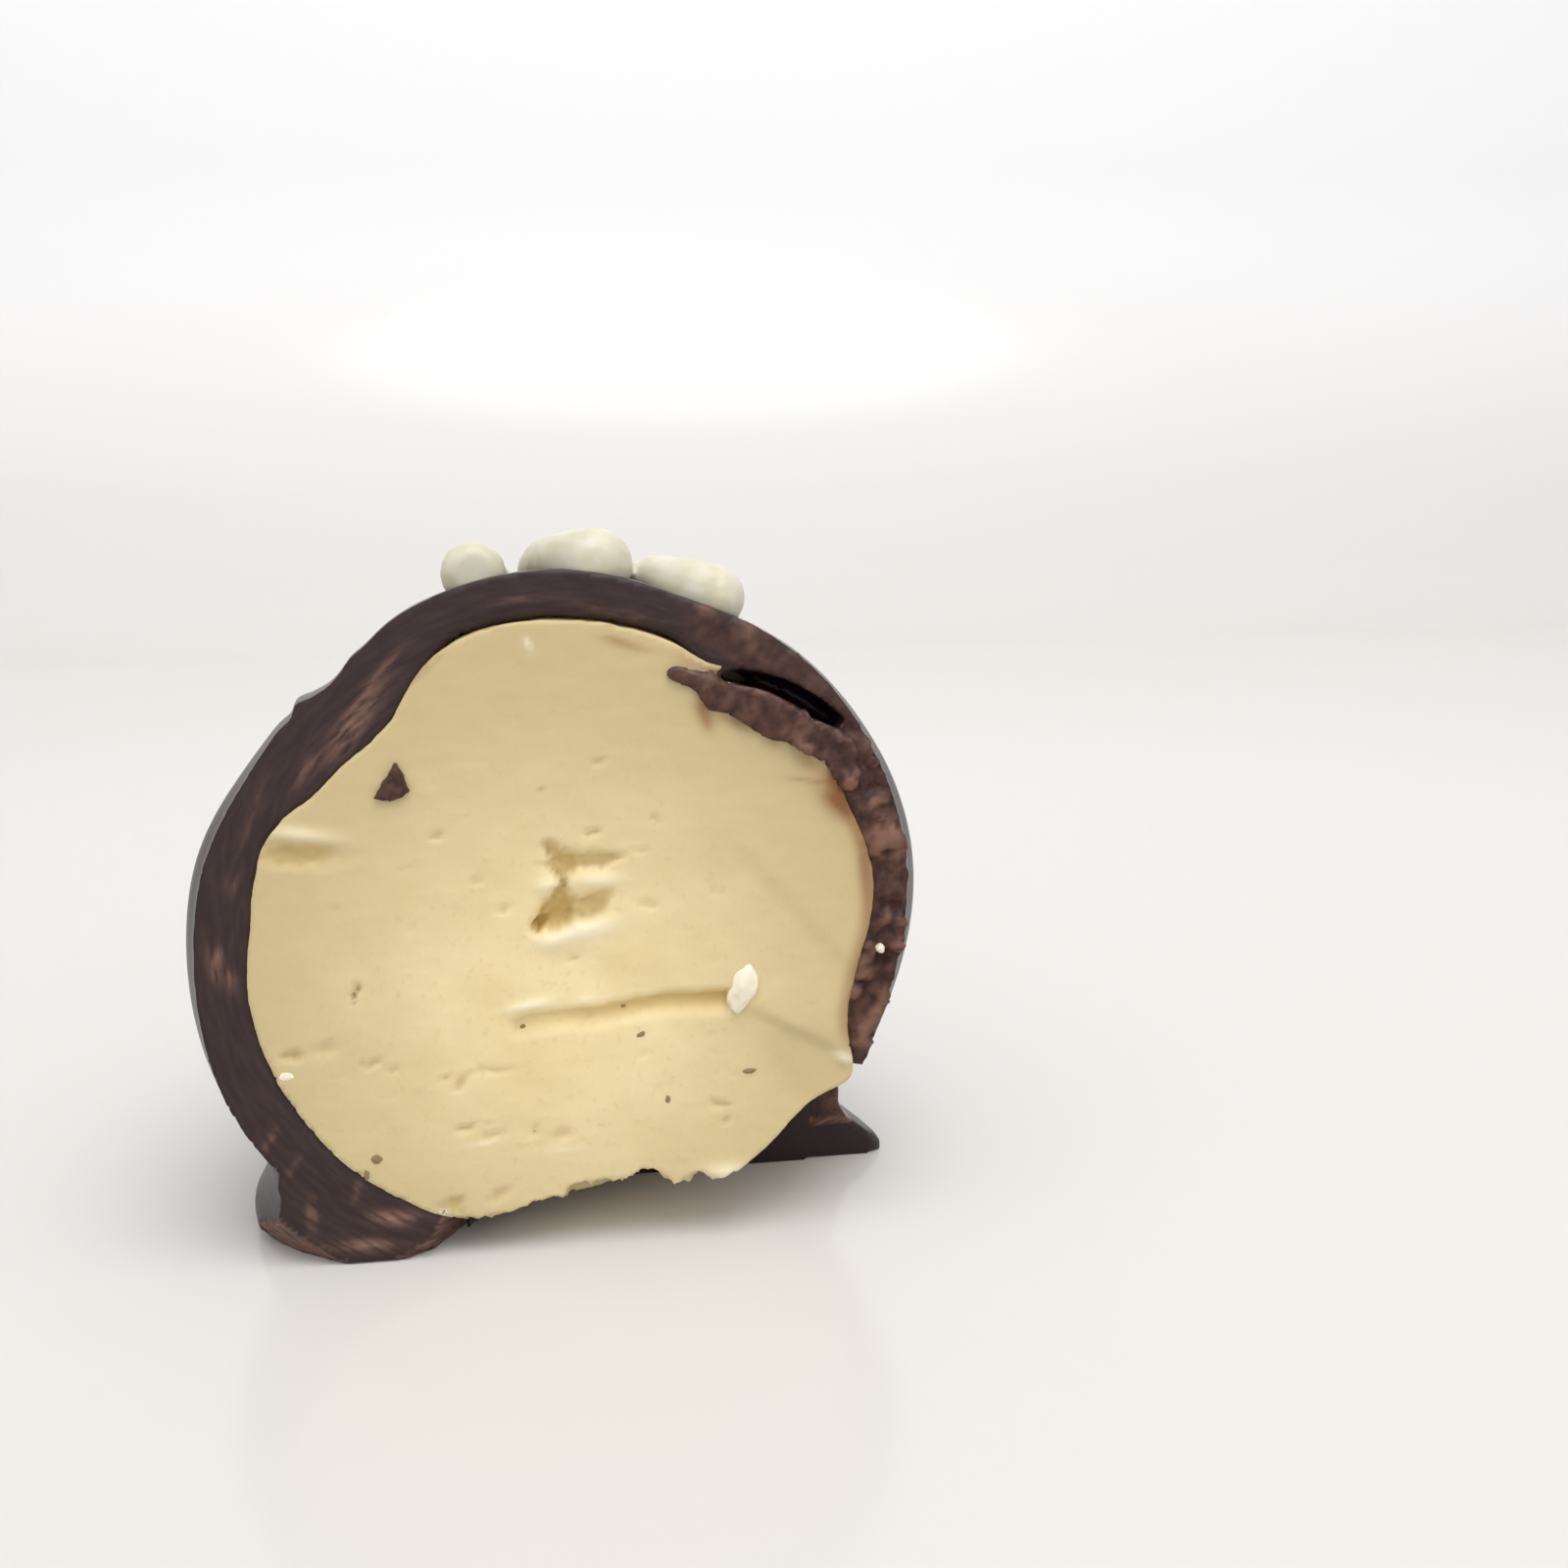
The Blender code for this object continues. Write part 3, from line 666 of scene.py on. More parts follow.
# %% Relief of the fondant's face
HOLE_LOBES = [((0.25, 2.9), (0.62, 0.55), 0, 0.7), ((-0.12, 3.3), (0.65, 0.3), 130, 0.5),
              ((1.4, 2.95), (1.15, 0.3), 4, 0.45), ((0.14, 2.2), (0.25, 0.6), 0, 0.7),
              ((-0.1, 0.8), (0.9, 0.68), 35, 1.0), ((-0.75, 0.35), (0.48, 0.33), 25, 1.2),
              ((0.05, 1.45), (0.36, 0.5), 0, 0.8), ((1.15, 0.95), (0.95, 0.55), 18, 0.6),
              ((1.75, 1.4), (0.5, 0.3), 10, 0.3)]
HOLE_TORN = 0.2
LIPS = [((1.55, 2.12), (0.95, 0.28), 0, 0.2), ((-0.5, 2.0), (0.38, 0.28), 0, 0.16),
        ((1.05, 0.05), (1.1, 0.4), 8, 0.14), ((-0.4, -0.4), (0.7, 0.3), 8, 0.12),
        ((-1.45, -3.1), (0.85, 0.17), 8, 0.2), ((0.9, -2.98), (0.4, 0.11), 4, 0.12),
        ((-10.4, 4.5), (1.4, 0.3), -10, 0.2), ((12.0, -6.2), (0.5, 0.25), -25, 0.25),
        ((6.7, -10.9), (1.0, 0.4), -5, 0.2)]
SCORES = [([(-2.5, -3.62), (-1.5, -3.36), (-0.2, -3.22), (1.2, -3.2), (2.7, -2.98), (4.3, -2.76), (7.0, -2.78)],
           (0.9, 1.0), (0.16, 0.42))]
TEARS = [((-10.5, 3.7), (1.5, 0.4), -5, 0.32), ((-8.0, -5.2), (0.35, 0.14), 20, 0.16),
         ((-7.2, -5.45), (0.3, 0.1), 10, 0.12), ((-5.0, -6.0), (0.3, 0.12), 15, 0.14),
         ((-4.5, -6.3), (0.35, 0.14), 35, 0.2), ((-3.2, -5.8), (0.9, 0.12), 2, 0.1),
         ((-4.3, -8.2), (0.5, 0.16), 20, 0.18), ((-3.2, -8.6), (0.6, 0.1), 5, 0.12),
         ((-1.45, -8.55), (0.2, 0.14), -30, 0.2), ((-0.3, -8.8), (0.5, 0.25), 5, 0.15),
         ((-11.2, -4.7), (0.35, 0.2), 10, 0.25), ((-9.9, -4.5), (0.5, 0.25), 0, 0.12),
         ((6.5, -7.9), (0.45, 0.16), -10, 0.14), ((6.7, -8.6), (0.25, 0.14), 10, 0.14),
         ((1.45, 4.15), (0.3, 0.12), 5, 0.16), ((-0.6, 5.95), (0.2, 0.1), 10, 0.14),
         ((1.75, 7.15), (0.3, 0.1), 0, 0.14), ((4.1, 4.65), (0.3, 0.12), 0, 0.12),
         ((3.4, 3.3), (0.35, 0.12), 0, 0.12), ((-2.4, 1.1), (0.35, 0.18), 25, 0.14),
         ((-3.4, 2.35), (0.3, 0.15), 10, 0.1), ((6.6, 1.5), (0.3, 0.1), 0, 0.16),
         ((-4.95, 4.2), (0.35, 0.14), 5, 0.14), ((0.5, -1.2), (0.2, 0.12), 0, 0.14),
         ((3.6, 1.0), (0.5, 0.2), 0, 0.1), ((-8.55, -2.2), (0.07, 0.38), -6, 0.3),
         ((-5.0, -11.6), (0.6, 0.35), 20, 0.25), ((-3.0, -11.2), (0.5, 0.2), 25, 0.15)]
CREASES = [((7.0, -3.3), (12.3, -6.2), 0.28, 0.26), ((7.0, 3.9), (12.4, -2.4), 0.5, 0.12),
           ((-6.0, 1.6), (4.5, -2.6), 0.8, 0.09)]
SMALL_TEARS = 110

# %% [markdown]
# Between the large tears the knife left many tiny ones. They are strewn by a seeded draw, fewer near the top.

# %% Small tears
chance = np.random.default_rng(11)
small_tears = []
while len(small_tears) < SMALL_TEARS:
    where = chance.uniform(-12.0, 12.0, 2)
    if np.hypot(*where) < 12.0 and (where[1] < 2.0 or chance.random() < 0.45):
        length = chance.uniform(0.06, 0.2)
        size = (length, length * chance.uniform(0.4, 0.8))
        small_tears.append((where, size, chance.uniform(-20.0, 30.0), 0.05))

print(len(TEARS) + len(small_tears), "tears")

# %% [markdown]
# The tables become one height over the face. A score has a steep upper side and a soft lower one, and a crease
# is a low step that fades away from its line.

# %% Depths and heights of the face


def torn(u, v, amount):
    """Places shifted by noise, so that a form drawn with ovals gets a torn outline."""
    place = np.stack((u, v, np.zeros_like(u)), axis=1)
    return u + amount * rough(place, 0.45), v + amount * rough(place + 40.0, 0.45)


def score_depth(u, v, line, widths, depths):
    line = np.array(line)
    share = np.clip((u - line[0, 0]) / (line[-1, 0] - line[0, 0]), 0.0, 1.0)
    width = widths[0] + (widths[1] - widths[0]) * share
    depth = depths[0] + (depths[1] - depths[0]) * share
    below = (np.interp(u, line[:, 0], line[:, 1]) - v) / width
    start, end = line[0, 0], line[-1, 0]
    inside = between(u, start - 0.1, start + 0.6) * (1.0 - between(u, end - 0.1, end + 0.1))
    return depth * inside * smooth(below / 0.25) * (1.0 - smooth((below - 0.4) / 0.9))


def deep_places(u, v):
    """How deep the hole, the scores and the tears are, in mm."""
    hole_u, hole_v = torn(u, v, HOLE_TORN)
    hole = np.zeros_like(u)
    for centre, size, turn, depth in HOLE_LOBES:
        hole = np.maximum(hole, depth * oval(hole_u, hole_v, centre, size, turn, 5.0))
    scores = sum(score_depth(u, v + 0.25 * (hole_v - v), *score) for score in SCORES)
    tears = np.zeros_like(u)
    for centre, size, turn, depth in TEARS + small_tears:
        tears = np.maximum(tears, depth * oval(hole_u, hole_v, centre, size, turn, 3.0))
    return hole, scores, tears


def face_relief(u, v):
    """How far the fondant's face stands out of the flat cut, in mm."""
    height = -sum(deep_places(u, v))
    for centre, size, turn, rise in LIPS:
        height = height + rise * oval(u, v, centre, size, turn)
    for start, end, width, step in CREASES:
        run = np.array(end) - np.array(start)
        length = np.hypot(*run)
        share = ((u - start[0]) * run[0] + (v - start[1]) * run[1]) / length ** 2
        side = ((u - start[0]) * run[1] - (v - start[1]) * run[0]) / length
        edge = between(share, -0.05, 0.2) * (1.0 - between(share, 0.97, 1.1))
        height = height - step * edge * between(side, -width, width) * np.exp(-np.maximum(side, 0.0) / 2.5)
    return height


# %% [markdown]
# ## The fondant
# The filling is one more round body with its torn edge, without the room where the shell split. The remeshed face
# then takes its relief. Masks for the materials follow: how deep a place is, for painted shade in the hollows;
# where chocolate stained it, with a painted shadow in the gap beside the flake; painted highlights on raised
# lips, with one pale crumb; and painted shade, darker towards the shell and in a crease at the lower right.

# %% Fondant
SPLIT = [(6.5, 10.5), (8.9, 9.8), (10.2, 9.1), (11.0, 8.5), (12.3, 8.0), (14.0, 8.0), (12.5, 11.0), (9.0, 12.8),
         (8.0, 11.7), (7.2, 10.9)]
SPLIT_DEPTH = 5.0
FONDANT_VOXEL = 0.17
# Chocolate stains on the face; the last two, at (6.2, 10.95) and (7.2, 10.5), are a painted shadow in the gap
# between the flake and the shell.
STAINS_AND_GAP_SHADOW = [((11.7, 5.2), (0.55, 1.1), 35, 0.95), ((10.6, 6.0), (0.9, 0.1), -8, 0.5),
          ((3.2, 11.9), (0.9, 0.2), -14, 0.5), ((2.6, 12.2), (0.5, 0.12), -10, 0.4),
          ((6.35, 8.7), (0.3, 0.5), 20, 0.7), ((6.2, 9.3), (0.4, 0.4), 0, 0.6),
          ((9.1, 7.6), (0.4, 0.35), 0, 0.7), ((7.6, 8.6), (0.7, 0.3), -30, 0.6),
          ((-5.4, 10.9), (1.4, 0.14), 42, 0.5), ((12.9, 2.0), (0.3, 1.8), 5, 0.45),
          ((12.9, -2.4), (0.25, 0.8), 0, 0.4), ((-4.7, -12.3), (0.6, 0.3), 0, 0.4),
          ((10.9, 6.6), (1.2, 0.3), -40, 0.55), ((6.2, 10.95), (0.9, 0.22), -25, 0.7),
          ((7.2, 10.5), (0.7, 0.22), -25, 1.0)]
# Most of these ovals are painted highlights on the raised lips by the hole, the score, the ledge and the tears;
# the one at (-0.9, 12.1) is a flat pale crumb.
PAINTED_HIGHLIGHTS_AND_CRUMB = [((1.55, 2.1), (0.9, 0.26), 0, 0.7), ((-0.5, 2.0), (0.4, 0.28), 0, 0.6),
        ((1.1, 0.0), (1.1, 0.36), 8, 0.9), ((-0.4, -0.42), (0.7, 0.28), 8, 0.7),
        ((-1.45, -3.08), (0.85, 0.15), 8, 0.9), ((0.9, -2.95), (0.4, 0.1), 4, 0.6),
        ((-10.5, 4.6), (1.4, 0.25), -10, 0.5), ((-0.9, 12.1), (0.12, 0.3), 25, 0.8),
        ((12.0, -6.15), (0.5, 0.22), -25, 0.9), ((6.9, -10.9), (1.1, 0.3), -5, 0.9),
        ((-5.4, -12.0), (0.25, 0.25), 0, 0.9), ((-0.2, -9.4), (0.9, 0.12), 4, 0.4),
        ((-3.6, -8.9), (0.8, 0.12), 6, 0.4)]

fondant = round_body("fondant_filling", ragged_centre, 480, 100)
combine(fondant, block((0.0, 0.0, CENTRE_BOTTOM - BLOCK / 2.0)), "DIFFERENCE")
combine(fondant, outline_plate("split", SPLIT, CUT_OFFSET + 1.0, CUT_OFFSET - SPLIT_DEPTH), "DIFFERENCE")
combine(fondant, knife(), "DIFFERENCE")
apply_modifier(fondant, "REMESH", mode="VOXEL", voxel_size=FONDANT_VOXEL * MM)
set_points(fondant, settle(points_of(fondant), ragged_centre, FONDANT_VOXEL * 0.55))

points = points_of(fondant)
local = to_cut(points)
beside, above, out = local.T
on_face = between(normals_of(fondant) @ OUT, 0.3, 0.6) * between(out, CUT_OFFSET - 0.3, CUT_OFFSET - 0.1)
hole, scores, tears = deep_places(beside, above)
wavy = rough(local, 2.6) * 0.04 + rough(local, (1.1, 0.4, 1.1)) * 0.014
crumbly = rough(local, 0.4) * 0.16 * between(hole, 0.1, 0.6)
rise = (face_relief(beside, above) + wavy + crumbly) * on_face
set_points(fondant, inside_box(points + OUT * rise[:, None]))

stain_and_gap_shadow = sum(strength * oval(beside, above, centre, size, turn) for centre, size, turn, strength in STAINS_AND_GAP_SHADOW)
to_edge = centre_radius(np.degrees(np.arctan2(above, beside)), out) - np.linalg.norm(local, axis=1)
stain_and_gap_shadow += 0.55 * (1.0 - between(to_edge, 0.05, 0.7)) * between(beside, 6.0, 9.0) * between(above, -6.5, -4.5)
painted_highlight_and_crumb = sum(strength * oval(beside, above, centre, size, turn) for centre, size, turn, strength in PAINTED_HIGHLIGHTS_AND_CRUMB)
# Painted shade: darker the farther from a point below the middle, so towards the shell at the top and sides, and
# darker still in the crease at the lower right.
painted_shade = between(np.hypot(beside, above + 3.0), 0.0, 15.0)
painted_shade += 0.4 * oval(beside, above, (10.0, -6.0), (2.4, 1.3), -30)
# Masks for painted colour: depth, for painted shade in the hollows; stains, with a painted shadow in the flake's
# gap; painted highlights, with one pale crumb; painted shade towards the shell.
set_mask(fondant, "deep", hole / 1.1 + scores / 0.42 + tears / 0.55)
set_mask(fondant, "stain_and_gap_shadow", stain_and_gap_shadow * on_face)
set_mask(fondant, "painted_highlight_and_crumb", painted_highlight_and_crumb * on_face)
set_mask(fondant, "painted_shade", painted_shade)
smooth_shaded(fondant)

# %% [markdown]
# ## Drizzle
# White chocolate was trailed over the dome in a zigzag and set fast. Each leg is a round strand along its path,
# thicker at its turn. The legs are joined and remeshed, so that they flow into each other.

# %% Drizzle
DRIZZLE_LEGS = [[(-3.0, 0.8), (-3.1, 3.2), (-2.7, 6.5), (-2.1, 9.3), (-1.2, 11.0)],
                [(-1.2, 11.0), (-0.4, 9.0), (-0.1, 5.5), (0.6, 2.7), (1.9, 1.0), (2.6, 0.5)],
                [(1.3, 0.4), (2.0, 1.1), (2.4, 2.9), (2.6, 6.0), (3.2, 9.2), (4.3, 10.9)],
                [(4.3, 10.9), (4.8, 8.4), (4.5, 5.2), (5.2, 2.8), (6.6, 1.3), (7.2, 0.8)],
                [(6.1, 0.6), (6.8, 1.3), (7.2, 3.3), (7.2, 6.2), (7.0, 9.0)]]
DRIZZLE_RADIUS = 1.2
DRIZZLE_LIFT = 0.35
DRIZZLE_END = 1.2
DRIZZLE_TIP = 0.15
TURN_SWELL = 0.3
DRIZZLE_VOXEL = 0.13


def catmull(points, steps):
    """Points along a smooth curve through the given points."""
    ends = [points[0]] + list(points) + [points[-1]]
    result = []
    for knots in zip(ends, ends[1:], ends[2:], ends[3:]):
        before, start, end, after = (np.array(knot) for knot in knots)
        for step in range(steps):
            t = step / steps
            bend = (2 * before - 5 * start + 4 * end - after) * t ** 2
            twist = (3 * start - before - 3 * end + after) * t ** 3
            result.append(0.5 * (2 * start + (end - before) * t + bend + twist))
    result.append(np.array(points[-1]))
    return result


def strand(path):
    x, y = np.array(catmull(path, 10)).T
    direction = np.stack((x, y, np.sqrt(BALL_RADIUS ** 2 - x * x - y * y)), axis=1) / BALL_RADIUS
    turned = direction @ CUT_AXES.T
    around = np.degrees(np.arctan2(turned[:, 1], turned[:, 0]))
    reach = shell_radius(around, turned[:, 2] * BALL_RADIUS) + DRIZZLE_LIFT
    places = MIDDLE + direction * reach[:, None]
    steps = np.linalg.norm(np.diff(places, axis=0), axis=1)
    length = np.concatenate(((0.0,), np.cumsum(steps)))
    turn = smooth((3.0 - places[:, 1] + MIDDLE[1]) / 2.5)
    rounding = np.minimum(1.0, (np.minimum(length, length[-1] - length) + DRIZZLE_TIP) / DRIZZLE_END)
    radius = DRIZZLE_RADIUS * (1.0 + TURN_SWELL * turn) * np.sqrt(1.0 - (1.0 - rounding) ** 2)
    curve = bpy.data.curves.new("strand", "CURVE")
    curve.dimensions = "3D"
    curve.bevel_depth = MM
    curve.bevel_resolution = 6
    curve.use_fill_caps = True
    spline = curve.splines.new("POLY")
    spline.points.add(len(places) - 1)
    for point, place, size in zip(spline.points, places, radius):
        point.co = (*(place * MM), 1.0)
        point.radius = size
    obj = bpy.data.objects.new("strand", curve)
    bpy.context.scene.collection.objects.link(obj)
    make_active(obj)
    bpy.ops.object.convert(target="MESH")
    return bpy.context.active_object


drizzle = join([strand(path) for path in DRIZZLE_LEGS], "white_drizzle")
apply_modifier(drizzle, "WELD", merge_threshold=0.00001)
apply_modifier(drizzle, "REMESH", mode="VOXEL", voxel_size=DRIZZLE_VOXEL * MM)
apply_modifier(drizzle, "SMOOTH", factor=0.5, iterations=8)
points = points_of(drizzle)
lift = rough(points, 2.4, 2) * 0.07 + rough(points, 0.8, 2) * 0.02
points = points + normals_of(drizzle) * lift[:, None]
set_points(drizzle, inside_box(points))
smooth_shaded(drizzle)

# %% [markdown]
# ## Chip, crumbs and specks
# Cutting leaves bits on the face: one chip of chocolate, pale crumbs of fondant and a few dark specks. Each crumb
# and speck is a small ball, pressed to its own size and seated on the face's relief, and each kind becomes one
# piece; the chip is a flat outline on the cut, thickened and rounded.

# %% Chip, crumbs and specks


def bits(name, rows, seed, uneven):
    """Joined small lumps: each row has a place on the cut, its half sizes beside, above and out, and its turn."""
    made = []
    for index, (centre, size, turn) in enumerate(rows):
        deselect()
        bpy.ops.mesh.primitive_ico_sphere_add(subdivisions=4, radius=MM)
        bit = bpy.context.active_object
        form = points_of(bit)
        form = form * (1.0 + uneven * rough(form + seed + index * 7.0, 0.8))[:, None] * size
        cos, sin = math.cos(math.radians(turn)), math.sin(math.radians(turn))
        x, y, z = form.T
        form = np.stack((x * cos - y * sin, x * sin + y * cos, z), axis=1)
        ground = CUT_OFFSET + face_relief(np.array([centre[0]]), np.array([centre[1]]))[0]
        set_points(bit, inside_box(from_cut(form + (centre[0], centre[1], ground))))
        made.append(bit)
    joined = join(made, name)
    smooth_shaded(joined)
    return joined


CHIP_CORNERS = [(-6.45, 7.4), (-6.75, 6.9), (-7.4, 5.95), (-6.7, 5.75), (-5.9, 6.2), (-6.15, 6.9)]
chip = outline_plate("chocolate_chip", CHIP_CORNERS, CUT_OFFSET + 0.25, CUT_OFFSET - 0.3)
apply_modifier(chip, "REMESH", mode="VOXEL", voxel_size=0.06 * MM)
apply_modifier(chip, "SMOOTH", factor=0.5, iterations=5)
points = points_of(chip)
set_points(chip, points + normals_of(chip) * (rough(points, 0.5) * 0.08)[:, None])
set_mask(chip, "warm", np.full(len(points), 0.9))
smooth_shaded(chip)

CRUMBS = [((7.62, -2.8), (0.58, 1.0, 0.36), -20), ((-11.5, -5.5), (0.32, 0.18, 0.06), -5),
          ((13.6, -1.4), (0.2, 0.2, 0.3), 0)]
SPECKS = [((-8.0, -9.3), (0.22, 0.2, 0.08), 0), ((-8.45, -9.95), (0.12, 0.22, 0.06), 0),
          ((3.2, -4.6), (0.2, 0.1, 0.04), 25), ((4.25, -7.5), (0.12, 0.16, 0.05), 0),
          ((7.8, -6.5), (0.26, 0.11, 0.05), 0), ((-1.75, -4.0), (0.12, 0.09, 0.04), 0),
          ((-1.4, -8.6), (0.07, 0.13, 0.04), 40), ((2.5, -3.4), (0.1, 0.07, 0.05), 0)]
crumbs = bits("fondant_crumbs", CRUMBS, 3.0, 0.24)
specks = bits("cocoa_specks", SPECKS, 9.0, 0.3)

# %% [markdown]
# ## Dark chocolate
# Dark couverture sets hard with a satin skin where it was poured. Where a knife broke it, it is duller, with
# streaks along the shell, and with pinkish brown smears of sugar and fat. The tops of the lumps on the broken
# walls and a line along the flake's top edge are painted lighter, as painted highlights. Cocoa butter has an IOR
# near 1.46.

# %% Dark chocolate
chocolate, tree, shader = new_material("dark_couverture")
place = add(tree, "ShaderNodeTexCoord", {}, "Object")
round_ring = add(tree, MASK, {}, "Vector", attribute_name="round_ring")
cut_mask = add(tree, MASK, {}, "Fac", attribute_name="cut")
warm_mask = add(tree, MASK, {}, "Fac", attribute_name="warm")
smear_and_highlight_mask = add(tree, MASK, {}, "Fac", attribute_name="smear_and_highlight")

# Streaks are 1.2 mm long and 0.25 mm wide; patches of the broken wall are about 0.5 mm wide.
squeezed = add(tree, "ShaderNodeMapping", {"Vector": round_ring, "Scale": (0.2, 1.0, 1.0)})
streaks = add(tree, NOISE, {"Vector": squeezed, "Scale": 1.0 / (0.25 * MM), "Detail": 4.0}, "Fac")
fine = add(tree, NOISE, {"Vector": place, "Scale": 1.0 / (0.3 * MM), "Detail": 4.0}, "Fac")
coarse = add(tree, NOISE, {"Vector": place, "Scale": 1.0 / (0.5 * MM), "Detail": 5.0}, "Fac")

streak_share = add(tree, RANGE, {"Value": streaks, "From Min": 0.4, "From Max": 0.75})
skin = linear("#2c1d1e")
cut_tone = add(tree, MIX, {0: streak_share, FIRST: linear("#332424"), SECOND: linear("#402f2d")}, **COLOURS)
tone = add(tree, MIX, {0: cut_mask, FIRST: skin, SECOND: cut_tone}, **COLOURS)
coarse_share = add(tree, RANGE, {"Value": coarse, "From Min": 0.35, "From Max": 0.65})
reddish = add(tree, MIX, {0: coarse_share, FIRST: linear("#3a211f"), SECOND: linear("#5c3d31")}, **COLOURS)
tone = add(tree, MIX, {0: warm_mask, FIRST: tone, SECOND: reddish}, **COLOURS)
# Painted highlight on the tops of the lumps of the broken walls.
lump_highlight_mask = add(tree, MASK, {}, "Fac", attribute_name="painted_lump_highlight")
lump_highlight_share = add(tree, "ShaderNodeMath", {0: lump_highlight_mask, 1: 0.7}, operation="MULTIPLY")
tone = add(tree, MIX, {0: lump_highlight_share, FIRST: tone, SECOND: linear("#8a6450")}, **COLOURS)
# The smear colour, which also paints the highlight along the flake's top edge and lightens the foot's facet rims
# and broken corner.
patchy = add(tree, RANGE, {"Value": streaks, "From Min": 0.3, "From Max": 0.6})
smear_and_highlight_share = add(tree, "ShaderNodeMath", {0: smear_and_highlight_mask, 1: patchy}, operation="MULTIPLY")
tone = add(tree, MIX, {0: smear_and_highlight_share, FIRST: tone, SECOND: linear("#96705e")}, **COLOURS)
tree.links.new(tone, shader.inputs["Base Color"])
dullness = add(tree, RANGE, {"Value": cut_mask, "To Min": 0.3, "To Max": 0.5})
tree.links.new(dullness, shader.inputs["Roughness"])
relief = add(tree, "ShaderNodeBump", {"Height": fine, "Distance": 0.05 * MM, "Strength": 0.3})
tree.links.new(relief, shader.inputs["Normal"])
shader.inputs["IOR"].default_value = 1.46
shader.inputs["Specular IOR Level"].default_value = 0.32
for piece in (shell, chip):
    piece.data.materials.append(chocolate)

# %% [markdown]
# Specks are crushed cocoa solids with hardly any fat, so they are a lighter, dull olive brown.

# %% Cocoa specks
speck_brown, tree, shader = new_material("cocoa_crumb")
shader.inputs["Base Color"].default_value = linear("#8d7650")
shader.inputs["Roughness"].default_value = 0.7
specks.data.materials.append(speck_brown)

# %% [markdown]
# ## Fondant
# Beaten fondant is a dense mass of tiny sugar crystals in syrup: dull, creamy, and lit a little from inside. The
# hole, the score and the tears are painted a darker, stronger yellow, as painted shade for the light that bounced
# there several times. The face is also painted darker towards the shell and in a crease, as painted shade, and
# lighter on raised lips, as painted highlights.

# %% Fondant material
cream, tree, shader = new_material("beaten_fondant")
place = add(tree, "ShaderNodeTexCoord", {}, "Object")
masks = {name: add(tree, MASK, {}, "Fac", attribute_name=name) for name in ("deep", "stain_and_gap_shadow", "painted_highlight_and_crumb", "painted_shade")}
cloud = add(tree, NOISE, {"Vector": place, "Scale": 1.0 / (3.5 * MM), "Detail": 3.0}, "Fac")
fine = add(tree, NOISE, {"Vector": place, "Scale": 1.0 / (0.35 * MM), "Detail": 4.0}, "Fac")
cloud_share = add(tree, RANGE, {"Value": cloud, "From Min": 0.3, "From Max": 0.7})
tone = add(tree, MIX, {0: cloud_share, FIRST: linear("#ebd7a3"), SECOND: linear("#f6e3b3")}, **COLOURS)
# Painted shade, darker towards the shell and in the crease at the lower right.
tone = add(tree, MIX, {0: masks["painted_shade"], FIRST: tone, SECOND: linear("#cdb98b")}, **COLOURS)
fine_share = add(tree, RANGE, {"Value": fine, "From Min": 0.58, "From Max": 0.75, "To Max": 0.35})
tone = add(tree, MIX, {0: fine_share, FIRST: tone, SECOND: linear("#cfb67c")}, **COLOURS)
# Painted shade: the hole, the score and the tears are painted a darker, stronger yellow, the more the deeper.
painted_recess_shade = add(tree, RANGE, {"Value": masks["deep"], "From Min": 0.05, "To Max": 0.8})
tone = add(tree, MIX, {0: painted_recess_shade, FIRST: tone, SECOND: linear("#cfae5e")}, **COLOURS)
# Painted highlight on raised lips and edges, and the pale colour of one flat crumb.
tone = add(tree, MIX, {0: masks["painted_highlight_and_crumb"], FIRST: tone, SECOND: linear("#f6ecd0")}, **COLOURS)
# Brown of chocolate stains, and a painted shadow in the gap beside the flake.
patchy = add(tree, RANGE, {"Value": cloud, "From Min": 0.25, "From Max": 0.5})
stain_and_shadow_share = add(tree, "ShaderNodeMath", {0: masks["stain_and_gap_shadow"], 1: patchy}, operation="MULTIPLY")
tone = add(tree, MIX, {0: stain_and_shadow_share, FIRST: tone, SECOND: linear("#8f6238")}, **COLOURS)
tree.links.new(tone, shader.inputs["Base Color"])
relief = add(tree, "ShaderNodeBump", {"Height": fine, "Distance": 0.04 * MM, "Strength": 0.3})
tree.links.new(relief, shader.inputs["Normal"])
shader.inputs["Roughness"].default_value = 0.5
shader.inputs["Specular IOR Level"].default_value = 0.3
shader.inputs["Subsurface Weight"].default_value = 0.2
shader.inputs["Subsurface Radius"].default_value = (0.0009, 0.0006, 0.0003)
shader.inputs["Subsurface Scale"].default_value = 1.0
fondant.data.materials.append(cream)

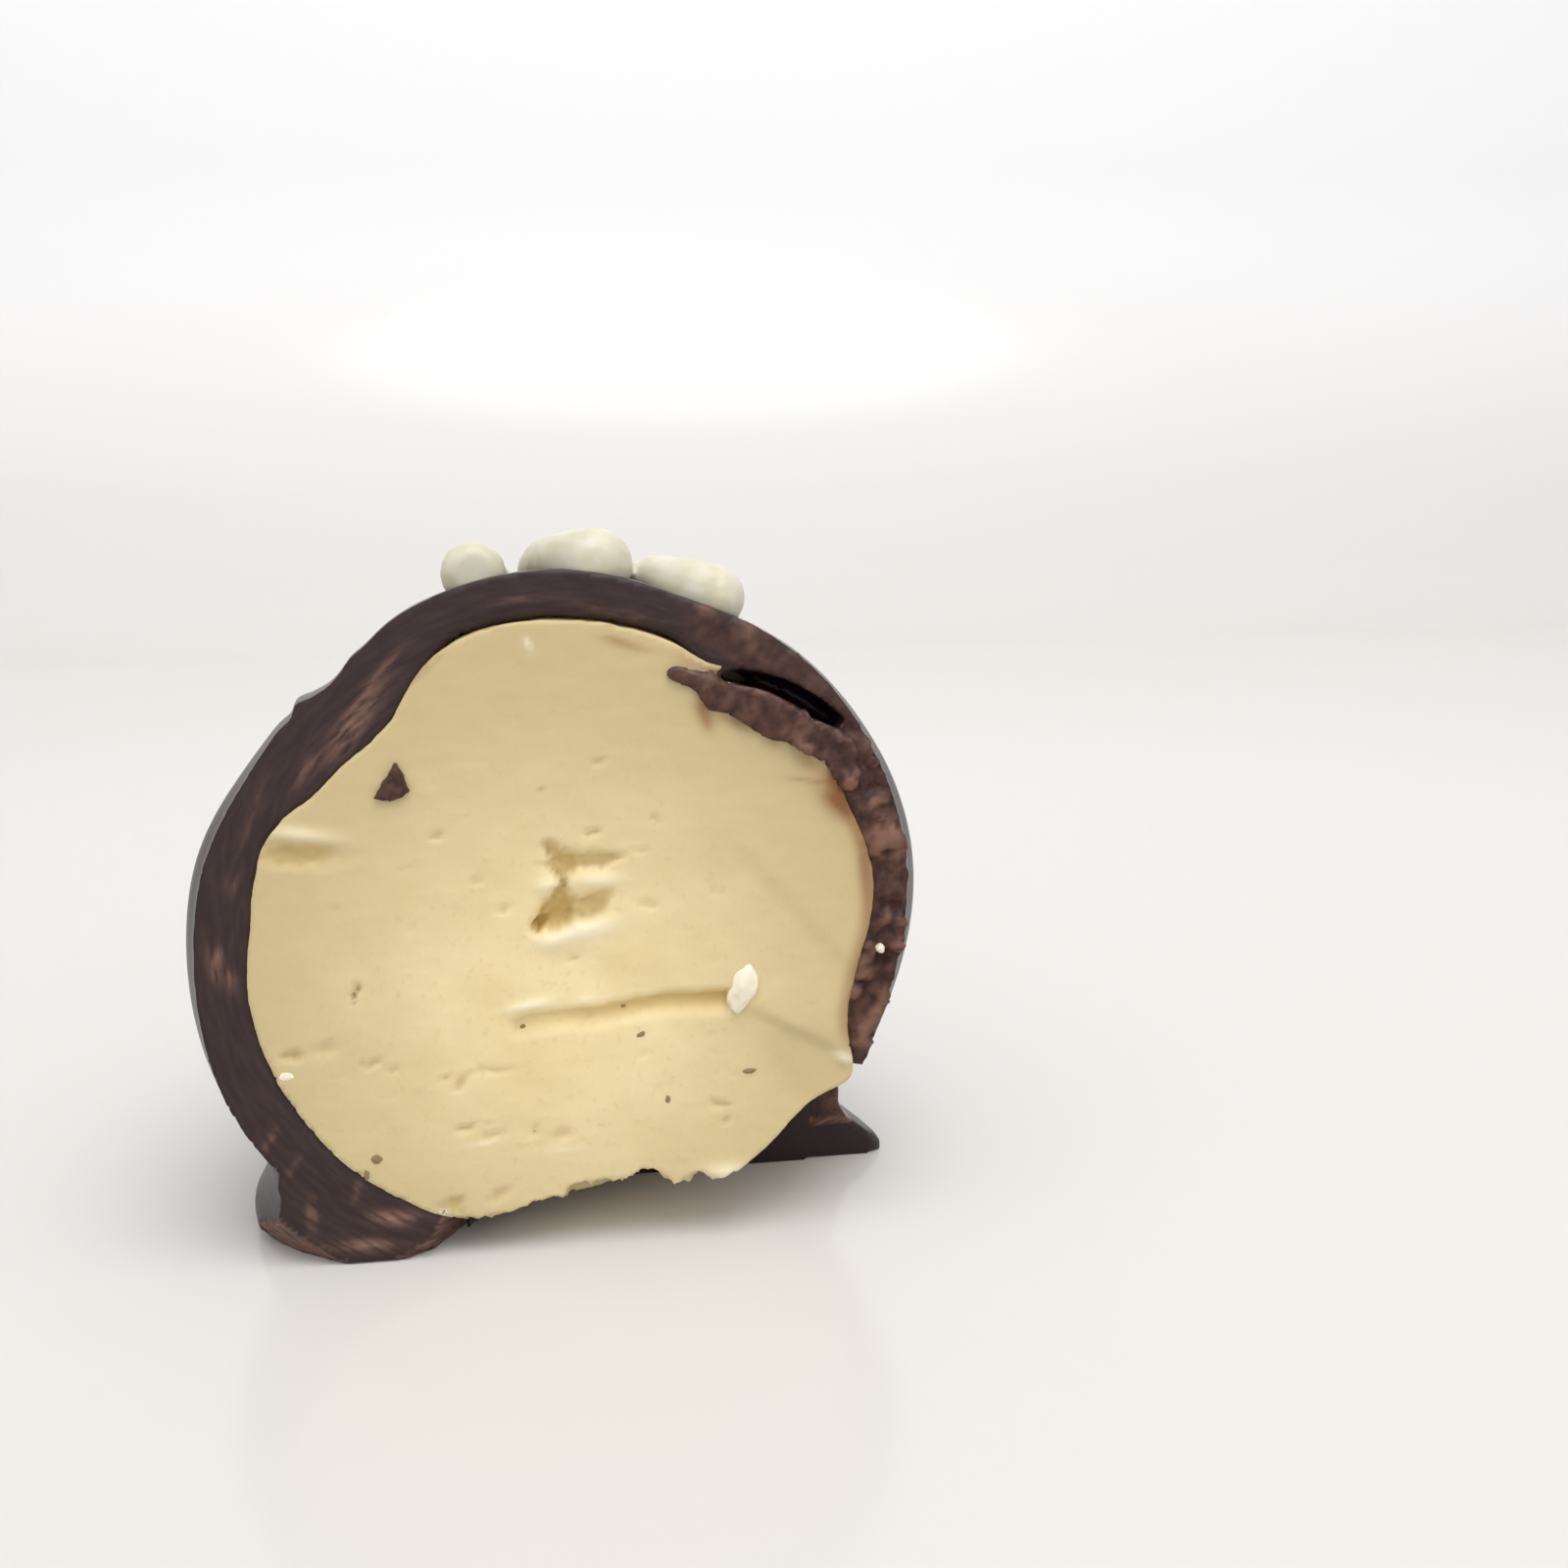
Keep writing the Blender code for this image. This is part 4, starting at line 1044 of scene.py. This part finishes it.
# %% [markdown]
# A crumb that dried in the air is paler than the moist face, because less light sinks into it.

# %% Dry crumbs
crumb_cream, tree, shader = new_material("dry_fondant_crumb")
place = add(tree, "ShaderNodeTexCoord", {}, "Object")
fine = add(tree, NOISE, {"Vector": place, "Scale": 1.0 / (0.3 * MM)}, "Fac")
tone = add(tree, MIX, {0: fine, FIRST: linear("#f9f0dd"), SECOND: linear("#efe2c4")}, **COLOURS)
tree.links.new(tone, shader.inputs["Base Color"])
shader.inputs["Roughness"].default_value = 0.5
crumbs.data.materials.append(crumb_cream)

# %% [markdown]
# ## White chocolate
# White chocolate is cocoa butter, milk and sugar: ivory, slightly see-through, with a soft gloss and faint paler
# blotches where its fat has bloomed.

# %% White chocolate
ivory, tree, shader = new_material("white_couverture")
place = add(tree, "ShaderNodeTexCoord", {}, "Object")
blotch = add(tree, NOISE, {"Vector": place, "Scale": 1.0 / (1.2 * MM), "Detail": 4.0}, "Fac")
blotch_share = add(tree, RANGE, {"Value": blotch, "From Min": 0.4, "From Max": 0.65})
tone = add(tree, MIX, {0: blotch_share, FIRST: linear("#c9c3a8"), SECOND: linear("#d2cdbb")}, **COLOURS)
tree.links.new(tone, shader.inputs["Base Color"])
shader.inputs["Roughness"].default_value = 0.35
shader.inputs["IOR"].default_value = 1.46
shader.inputs["Subsurface Weight"].default_value = 0.12
shader.inputs["Subsurface Radius"].default_value = (0.0008, 0.0006, 0.0004)
shader.inputs["Subsurface Scale"].default_value = 1.0
drizzle.data.materials.append(ivory)

# %% [markdown]
# ## Attaching the pieces
# Each piece moves with the one body of the sweet, and the solid that it dresses is hidden.

# %% Attach the pieces
PIECES = [(shell, "chocolate_shell", "dark_chocolate"), (drizzle, "chocolate_shell", "white_chocolate"),
          (fondant, "fondant_centre", "fondant"), (crumbs, "fondant_centre", "fondant"),
          (chip, "fondant_centre", "dark_chocolate"), (specks, "fondant_centre", "dark_chocolate")]
for piece, node, slot in PIECES:
    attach(piece, "root")
    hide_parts(node)
